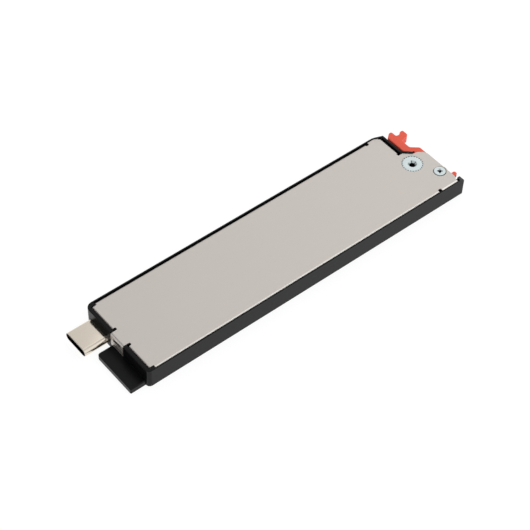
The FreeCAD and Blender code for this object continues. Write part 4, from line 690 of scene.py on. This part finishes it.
@dataclass
class PivotPost:
    """Pivot post clinched in the cover: knurled ring, dished middle, blind hole.

    Attributes:
        foot: radius of the foot.
        foot_height: height of the foot.
        shank: radius of the shank.
        collar: radius of the shoulder under the cover.
        collar_height: height of the shoulder.
        sheet: thickness of the cover.
        disc: radius inside the knurled ring.
        dish: radius of the dish.
        dish_foot: radius where the dish meets the hole.
        dish_depth: depth of the dish.
        hole: radius of the hole.
        hole_depth: depth of the hole below the head's face.
        edge_roll: roundings of the head.
        lip: degrees at which the dish's upper rounding starts, and how far it runs.
        rings: rows of points across the knurled ring.
        knurls: how many grooves the ring has.
        knurl_steps: points round each groove and the land beside it.
        knurl_depth: depth of the grooves.
        knurl_share: share of the ring that is groove.
        knurl_ease: half the share of the ring over which a groove's wall falls.
        knurl_end: where the grooves run out, as shares of the rounding from the head's edge.
        nicks: degrees at which a painted dark reflection lies on the dish's wall.
        nick: degrees from such a reflection's middle where it starts to fade, and where it ends.
    """

    foot: float = 1.0 * MM
    foot_height: float = 0.4 * MM
    shank: float = 1.5 * MM
    collar: float = 2.0 * MM
    collar_height: float = 0.05 * MM
    sheet: float = 0.4 * MM
    disc: float = 2.62 * MM
    dish: float = 1.2 * MM
    dish_foot: float = 0.86 * MM
    dish_depth: float = 0.55 * MM
    hole: float = 0.8 * MM
    hole_depth: float = 2.8 * MM
    edge_roll: float = 0.08 * MM
    lip: tuple[float, float] = (145.0, 55.0)
    rings: int = 8
    knurls: int = 24
    knurl_steps: int = 16
    knurl_depth: float = 0.2 * MM
    knurl_share: float = 0.45
    knurl_ease: float = 0.15
    knurl_end: tuple[float, float] = (1.2, 0.4)
    nicks: tuple[float, ...] = (2.0, 60.0)
    nick: tuple[float, float] = (4.0, 8.0)

    def profile(self, low: float, top: float, head: float) -> tuple[np.ndarray, slice]:
        """Walk from the hole's floor over the head and down the shank to the foot.

        Args:
            low: the foot's lowest Z.
            top: the head's face.
            head: the head's radius.

        Returns:
            Rows of radius and height, and which of them lie in the knurled ring.
        """
        centre = (self.dish + self.edge_roll, top - self.edge_roll)
        lip = rounded(centre, self.edge_roll, *self.lip)
        ring = np.linspace(self.disc, head - self.edge_roll, self.rings)
        ring = np.stack([ring, np.full_like(ring, top)], axis=-1)
        edge = rounded((head - self.edge_roll, top - self.edge_roll), self.edge_roll, 90.0)
        under = top - self.sheet
        start = np.array([
            (0.0, top - self.hole_depth),
            (self.hole, top - self.hole_depth),
            (self.hole, top - self.dish_depth),
            (self.dish_foot, top - self.dish_depth),
        ])
        rest = np.array([
            (head, under),
            (self.collar, under),
            (self.collar, under - self.collar_height),
            (self.shank, under - self.collar_height),
            (self.shank, low + self.foot_height),
            (self.foot, low + self.foot_height),
            (self.foot, low),
            (0.0, low),
        ])
        knurled = slice(len(start) + len(lip), len(start) + len(lip) + len(ring) + len(edge))
        return np.concatenate([start, lip, ring, edge, rest]), knurled

    def build(self, shop: Workshop) -> None:
        """Turn the profile, and press the grooves into its ring: a rounded square wave.

        Args:
            shop: what coats and hangs the pieces.
        """
        low, high = (np.array(corner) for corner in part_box("pivot_post"))
        middle, head = (low + high) / 2, (high[0] - low[0]) / 2
        profile, knurled = self.profile(low[2], high[2], head)
        points, angle = turned(profile, self.knurls * self.knurl_steps)
        phase = np.abs((angle * self.knurls / (2 * math.pi)) % 1.0 - 0.5) * 2
        share, ease = self.knurl_share, self.knurl_ease
        groove = 1 - smooth_step(share - ease, share + ease, phase)
        radius = profile[knurled, 0]
        inside = smooth_step(self.disc, self.disc + self.edge_roll, radius)
        fade, end = (head - self.edge_roll * part for part in self.knurl_end)
        inside *= 1 - smooth_step(fade, end, radius)
        pressed = inside[:, None] * groove
        points[knurled, :, 2] -= self.knurl_depth * pressed
        residue = np.zeros(points.shape[:2])
        # The knurl's grooves get painted shade as deep as they are pressed.
        residue[knurled] = pressed
        # The hole is the profile's first three rows, in full painted shade, and the dish's wall
        # the next two, with painted dark reflections at a few angles.
        residue[:3] = 1.0
        aside = np.degrees(angle)[:, None] - np.array(self.nicks)
        aside = np.abs((aside + 180.0) % 360.0 - 180.0).min(axis=1)
        residue[3:5] = 1 - smooth_step(*self.nick, aside)
        points[..., :2] += middle[:2]
        mesh = grid_mesh("knurled_pivot_post", points, False, residue)
        shop.hang(mesh, "pivot_post")


@dataclass
class Latch:
    """Latch: moulded lever with softened edges, its post, washer and return spring.

    Attributes:
        edge_roll: rounding of the lever's outer edges.
        roll_steps: faces across each rounding.
        hub: radius round the pivot within which edges keep their corners.
        corner: degrees from which an edge counts as a corner.
        crease: degrees from which an edge is shaded sharp.
        flat: degrees within which the solid's triangles become one face.
    """

    edge_roll: float = 0.14 * MM
    roll_steps: int = 3
    hub: float = 3.3 * MM
    corner: float = 25.0
    crease: float = 60.0
    flat: float = 0.5

    def lever_mesh(self) -> bpy.types.Mesh:
        """Copy the lever's solid, merge it and mark the corners that the mould rounds.

        The cosine of the turn at an edge is half the squared length of its two faces' added
        normals, less one. Edges with both ends outside the hub that turn enough are corners.

        Returns:
            A mesh whose bevel weights are one on the outer corners.
        """
        source = frame["nodes"]["latch_lever"].data
        points = column(source.vertices, "co", 3)
        triangles = column(source.loops, "vertex_index", dtype=int).reshape(-1, 3)
        mesh = bpy.data.meshes.new("softened_latch_lever")
        mesh.from_pydata(points.tolist(), [], triangles.tolist())
        tidy_mesh(mesh, self.crease, self.flat)
        low, high = (np.array(corner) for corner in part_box("pivot_post"))
        aside = column(mesh.vertices, "co", 3) - (low + high) / 2
        outside = np.hypot(aside[:, 0], aside[:, 1]) > self.hub
        far = outside[column(mesh.edges, "vertices", 2, int)].all(axis=1)
        edges = column(mesh.loops, "edge_index", dtype=int)
        sizes = column(mesh.polygons, "loop_total", dtype=int)
        normals = np.repeat(column(mesh.polygons, "normal", 3), sizes, axis=0)
        added = np.zeros((len(mesh.edges), 3))
        np.add.at(added, edges, normals)
        paired = np.bincount(edges, minlength=len(mesh.edges)) == 2
        turn = (added**2).sum(axis=1) / 2 - 1
        corners = far & paired & (turn < math.cos(math.radians(self.corner)))
        weight = mesh.attributes.new("bevel_weight_edge", "FLOAT", "EDGE")
        weight.data.foreach_set("value", corners.astype(np.float32))
        return mesh

    def build(self, shop: Workshop) -> None:
        """Round the lever's corners, make the post and coat the rest.

        Args:
            shop: what coats and hangs the pieces.
        """
        lever = shop.hang(self.lever_mesh(), "latch_lever")
        bevel = lever.modifiers.new("moulded_edges", "BEVEL")
        bevel.width = self.edge_roll
        bevel.segments = self.roll_steps
        bevel.limit_method = "WEIGHT"
        bevel.harden_normals = True
        PivotPost().build(shop)
        shop.coat("latch_washer", "latch_spring")


@dataclass
class DriveModule:
    """Boards and packages under the cover, shown as their solids.

    Attributes:
        adapter: the short board behind the plug and what sits on it.
        drive: the drive board and what sits on it.
        fitting: what insulates, cools and holds it.
    """

    adapter: tuple[str, ...] = (
        "adapter_board", "bridge_chip", "crystal", "power_inductor", "adapter_capacitors",
        "edge_socket", "socket_contacts",
    )
    drive: tuple[str, ...] = (
        "drive_board", "edge_fingers", "controller_chip", "cache_chip", "memory_chip_near",
        "memory_chip_far", "power_chip", "drive_capacitors",
    )
    fitting: tuple[str, ...] = (
        "thermal_pad", "insulating_film", "module_standoff", "module_screw",
    )

    def build(self, shop: Workshop) -> None:
        """Coat every piece of the module."""
        shop.coat(*self.adapter, *self.drive, *self.fitting)


@dataclass(frozen=True)
class Panel:
    """Round part of the tent that is darker or brighter than the rest.

    Attributes:
        name: what it is.
        way: direction from the object to its middle.
        inner: degrees from the middle up to which it has its full level.
        outer: degrees at which it ends.
        level: its light as a share of the tent's.
    """

    name: str
    way: tuple[float, float, float]
    inner: float
    outer: float
    level: float

    def share(
        self, tree: bpy.types.NodeTree, direction: bpy.types.NodeSocket
    ) -> bpy.types.NodeSocket:
        """Ease from the level at the inner angle to one at the outer, by the angle's cosine.

        Args:
            tree: the world's node tree.
            direction: the socket that holds the direction looked in.

        Returns:
            The socket that holds the share.
        """
        nearness = add(
            tree, "ShaderNodeVectorMath", {1: Vector(self.way).normalized()}, {0: direction},
            operation="DOT_PRODUCT",
        )
        inner, outer = (math.cos(math.radians(edge)) for edge in (self.inner, self.outer))
        eased = add(
            tree, "ShaderNodeMapRange",
            {"From Min": outer, "From Max": inner, "To Min": 1.0, "To Max": self.level},
            {"Value": nearness.outputs["Value"]},
            interpolation_type="SMOOTHSTEP",
        )
        return eased.outputs["Result"]


@dataclass
class Studio:
    """White tent of the photograph: floor, sky, lamp and camera.

    Attributes:
        azimuth: degrees round the object, 0 looking along +Y.
        elevation: degrees above the horizon.
        roll: degrees that the camera leans.
        distance: camera to target.
        target: point that the camera looks at.
        focal_share: focal length as a share of the frame's width.
        sensor: the sensor's width in Blender's millimetres.
        floor_size: side of the square floor.
        floor_drop: how far it lies below the object, so that the two don't meet.
        paper: the floor's share of light thrown back.
        paper_glow: strength of its own glow.
        glow_share: share of that glow for rays that show the background.
        diffuse_light: strength of the tent for dull surfaces.
        near_light: the tent's share of white towards the plug's side.
        far_light: the same towards the latch's side.
        light_run: X of the directions between which it goes from the one to the other.
        panels: what hangs in the tent.
        key_place: where the one soft lamp hangs.
        key_size: its side.
        key_watts: its power.
    """

    azimuth: float = -40.94
    elevation: float = 49.56
    roll: float = 2.26
    distance: float = 417.15 * MM
    target: tuple[float, float, float] = (-5.61 * MM, -0.25 * MM, 0.0)
    focal_share: float = 1615.84 / 530
    sensor: float = 36.0
    floor_size: float = 6.0
    floor_drop: float = 0.02 * MM
    paper: float = 0.93
    paper_glow: float = 1.1
    glow_share: float = 0.8
    diffuse_light: float = 1.12
    near_light: float = 0.74
    far_light: float = 1.0
    light_run: tuple[float, float] = (0.2, 0.65)
    panels: tuple[Panel, ...] = (
        Panel("opening round the camera", (-0.425, -0.49, 0.761), 8.0, 18.0, 0.3),
        Panel("seam overhead", (0.43, -0.06, 0.9), 8.0, 14.0, 0.0),
        Panel("dark card behind the plug", (-0.425, 0.49, 0.761), 14.0, 24.0, 0.05),
        Panel("bright card beside the plug", (0.425, -0.74, 0.52), 20.0, 31.0, 1.35),
    )
    key_place: tuple[float, float, float] = (0.6, 0.25, 1.0)
    key_size: float = 1.0
    key_watts: float = 0.6

    def back(self) -> Vector:
        """Direction from the target to the camera."""
        turn, rise = math.radians(self.azimuth), math.radians(self.elevation)
        return Vector(
            (math.sin(turn) * math.cos(rise), -math.cos(turn) * math.cos(rise), math.sin(rise))
        )

    def camera(self) -> None:
        """Stand the camera where the photograph was taken from."""
        data = bpy.data.cameras.new("camera")
        data.sensor_width = self.sensor
        data.lens = self.sensor * self.focal_share
        data.clip_start = self.distance / 100
        data.clip_end = self.distance * 100
        made = bpy.data.objects.new("camera", data)
        bpy.context.scene.collection.objects.link(made)
        back, turn, lean = self.back(), math.radians(self.azimuth), math.radians(self.roll)
        right = Vector((math.cos(turn), math.sin(turn), 0.0))
        up = back.cross(right)
        right, up = (
            math.cos(lean) * right + math.sin(lean) * up,
            -math.sin(lean) * right + math.cos(lean) * up,
        )
        stand = Matrix((right, up, back)).transposed().to_4x4()
        made.matrix_world = Matrix.Translation(Vector(self.target) + back * self.distance) @ stand
        bpy.context.scene.camera = made

    def floor(self) -> None:
        """Lay a white floor that shows white and keeps a soft shadow under the object."""
        half = self.floor_size / 2
        mesh = bpy.data.meshes.new("floor")
        corners = [(-half, -half), (half, -half), (half, half), (-half, half)]
        corners = [(x, y, -self.floor_drop) for x, y in corners]
        mesh.from_pydata(corners, [], [(0, 1, 2, 3)])
        made = bpy.data.objects.new("floor", mesh)
        bpy.context.scene.collection.objects.link(made)
        mesh.materials.append(self.floor_material())
        made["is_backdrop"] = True

    def floor_material(self) -> bpy.types.Material:
        """White paper whose own glow, seen by camera and gloss, keeps part of the shadow.

        Returns:
            The new material.
        """
        made = bpy.data.materials.new("white_paper")
        made.use_nodes = True
        tree = made.node_tree
        tree.nodes.clear()
        white = (self.paper, self.paper, self.paper, 1.0)
        paper = add(tree, "ShaderNodeBsdfDiffuse", {"Color": white})
        glow = add(tree, "ShaderNodeEmission", {"Strength": self.paper_glow})
        share = add(
            tree, "ShaderNodeMath", {1: self.glow_share}, {0: self.seen(tree)},
            operation="MULTIPLY",
        )
        mixed = add(
            tree, "ShaderNodeMixShader",
            links={0: share.outputs[0], 1: paper.outputs[0], 2: glow.outputs[0]},
        )
        add(tree, "ShaderNodeOutputMaterial", links={"Surface": mixed.outputs[0]})
        return made

    def seen(self, tree: bpy.types.NodeTree) -> bpy.types.NodeSocket:
        """One for rays that show the background: the camera's, and through gloss or glass.

        Args:
            tree: the node tree that takes the nodes.

        Returns:
            The socket that holds one or zero.
        """
        path = add(tree, "ShaderNodeLightPath")
        direct = add(
            tree, "ShaderNodeMath",
            links={0: path.outputs["Is Camera Ray"], 1: path.outputs["Is Glossy Ray"]},
            operation="MAXIMUM",
        )
        both = add(
            tree, "ShaderNodeMath",
            links={0: direct.outputs[0], 1: path.outputs["Is Transmission Ray"]},
            operation="MAXIMUM",
        )
        return both.outputs[0]

    def world(self) -> None:
        """White tent, a little darker towards the plug, with its panels."""
        world = bpy.data.worlds.new("tent")
        bpy.context.scene.world = world
        world.use_nodes = True
        tree = world.node_tree
        tree.nodes.clear()
        way = add(tree, "ShaderNodeTexCoord")
        axes = add(tree, "ShaderNodeSeparateXYZ", links={0: way.outputs["Generated"]})
        start, end = self.light_run
        lean = add(
            tree, "ShaderNodeMapRange",
            {
                "From Min": start,
                "From Max": end,
                "To Min": self.near_light,
                "To Max": self.far_light,
            },
            {"Value": axes.outputs["X"]},
        )
        level = lean.outputs["Result"]
        for panel in self.panels:
            share = panel.share(tree, way.outputs["Generated"])
            hung = add(tree, "ShaderNodeMath", links={0: level, 1: share}, operation="MULTIPLY")
            level = hung.outputs[0]
            log.info("tent: %s", panel.name)
        path = add(tree, "ShaderNodeLightPath")
        kind = add(
            tree, "ShaderNodeMapRange",
            {"To Min": self.diffuse_light, "To Max": 1.0}, {"Value": self.seen(tree)},
        )
        lit = add(
            tree, "ShaderNodeMath",
            links={0: level, 1: kind.outputs["Result"]}, operation="MULTIPLY",
        )
        strength = add(
            tree, "ShaderNodeMix", {3: 1.0},
            {0: path.outputs["Is Camera Ray"], 2: lit.outputs[0]}, data_type="FLOAT",
        )
        sky = add(
            tree, "ShaderNodeBackground",
            {"Color": (1.0, 1.0, 1.0, 1.0)}, {"Strength": strength.outputs[0]},
        )
        add(tree, "ShaderNodeOutputWorld", links={"Surface": sky.outputs[0]})

    def lamp(self) -> None:
        """Hang the square soft lamp, which faces the object."""
        data = bpy.data.lights.new("key", "AREA")
        data.size = self.key_size
        data.energy = self.key_watts
        made = bpy.data.objects.new("key", data)
        bpy.context.scene.collection.objects.link(made)
        place = Vector(self.key_place)
        turn = (-place).to_track_quat("-Z", "Y").to_matrix().to_4x4()
        made.matrix_world = Matrix.Translation(place) @ turn

    def build(self) -> None:
        """Set up everything that isn't the object."""
        self.camera()
        self.floor()
        self.world()
        self.lamp()
        bpy.context.scene.view_settings.view_transform = "Standard"
        log.info("studio is set")


def clear_startup() -> None:
    """Remove what Blender's startup file brings along."""
    for name in STARTUP_OBJECTS:
        item = bpy.data.objects.get(name)
        if item is not None:
            bpy.data.objects.remove(item)


def plain_box() -> list[list[float]]:
    """The shown object's lowest and highest corner as plain numbers."""
    bpy.context.view_layer.update()
    return [list(corner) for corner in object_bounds()]


def main() -> None:
    """Dress every sub-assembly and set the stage."""
    logging.basicConfig(level=logging.INFO, format="%(name)s: %(message)s")
    clear_startup()
    cad_box = plain_box()
    shop = Workshop()
    for assembly in (Housing(), Plug(), CoverScrew(), Latch(), DriveModule()):
        assembly.build(shop)
    Studio().build()
    {"cad": cad_box, "visual": plain_box()}


if __name__ == "__main__":
    main()
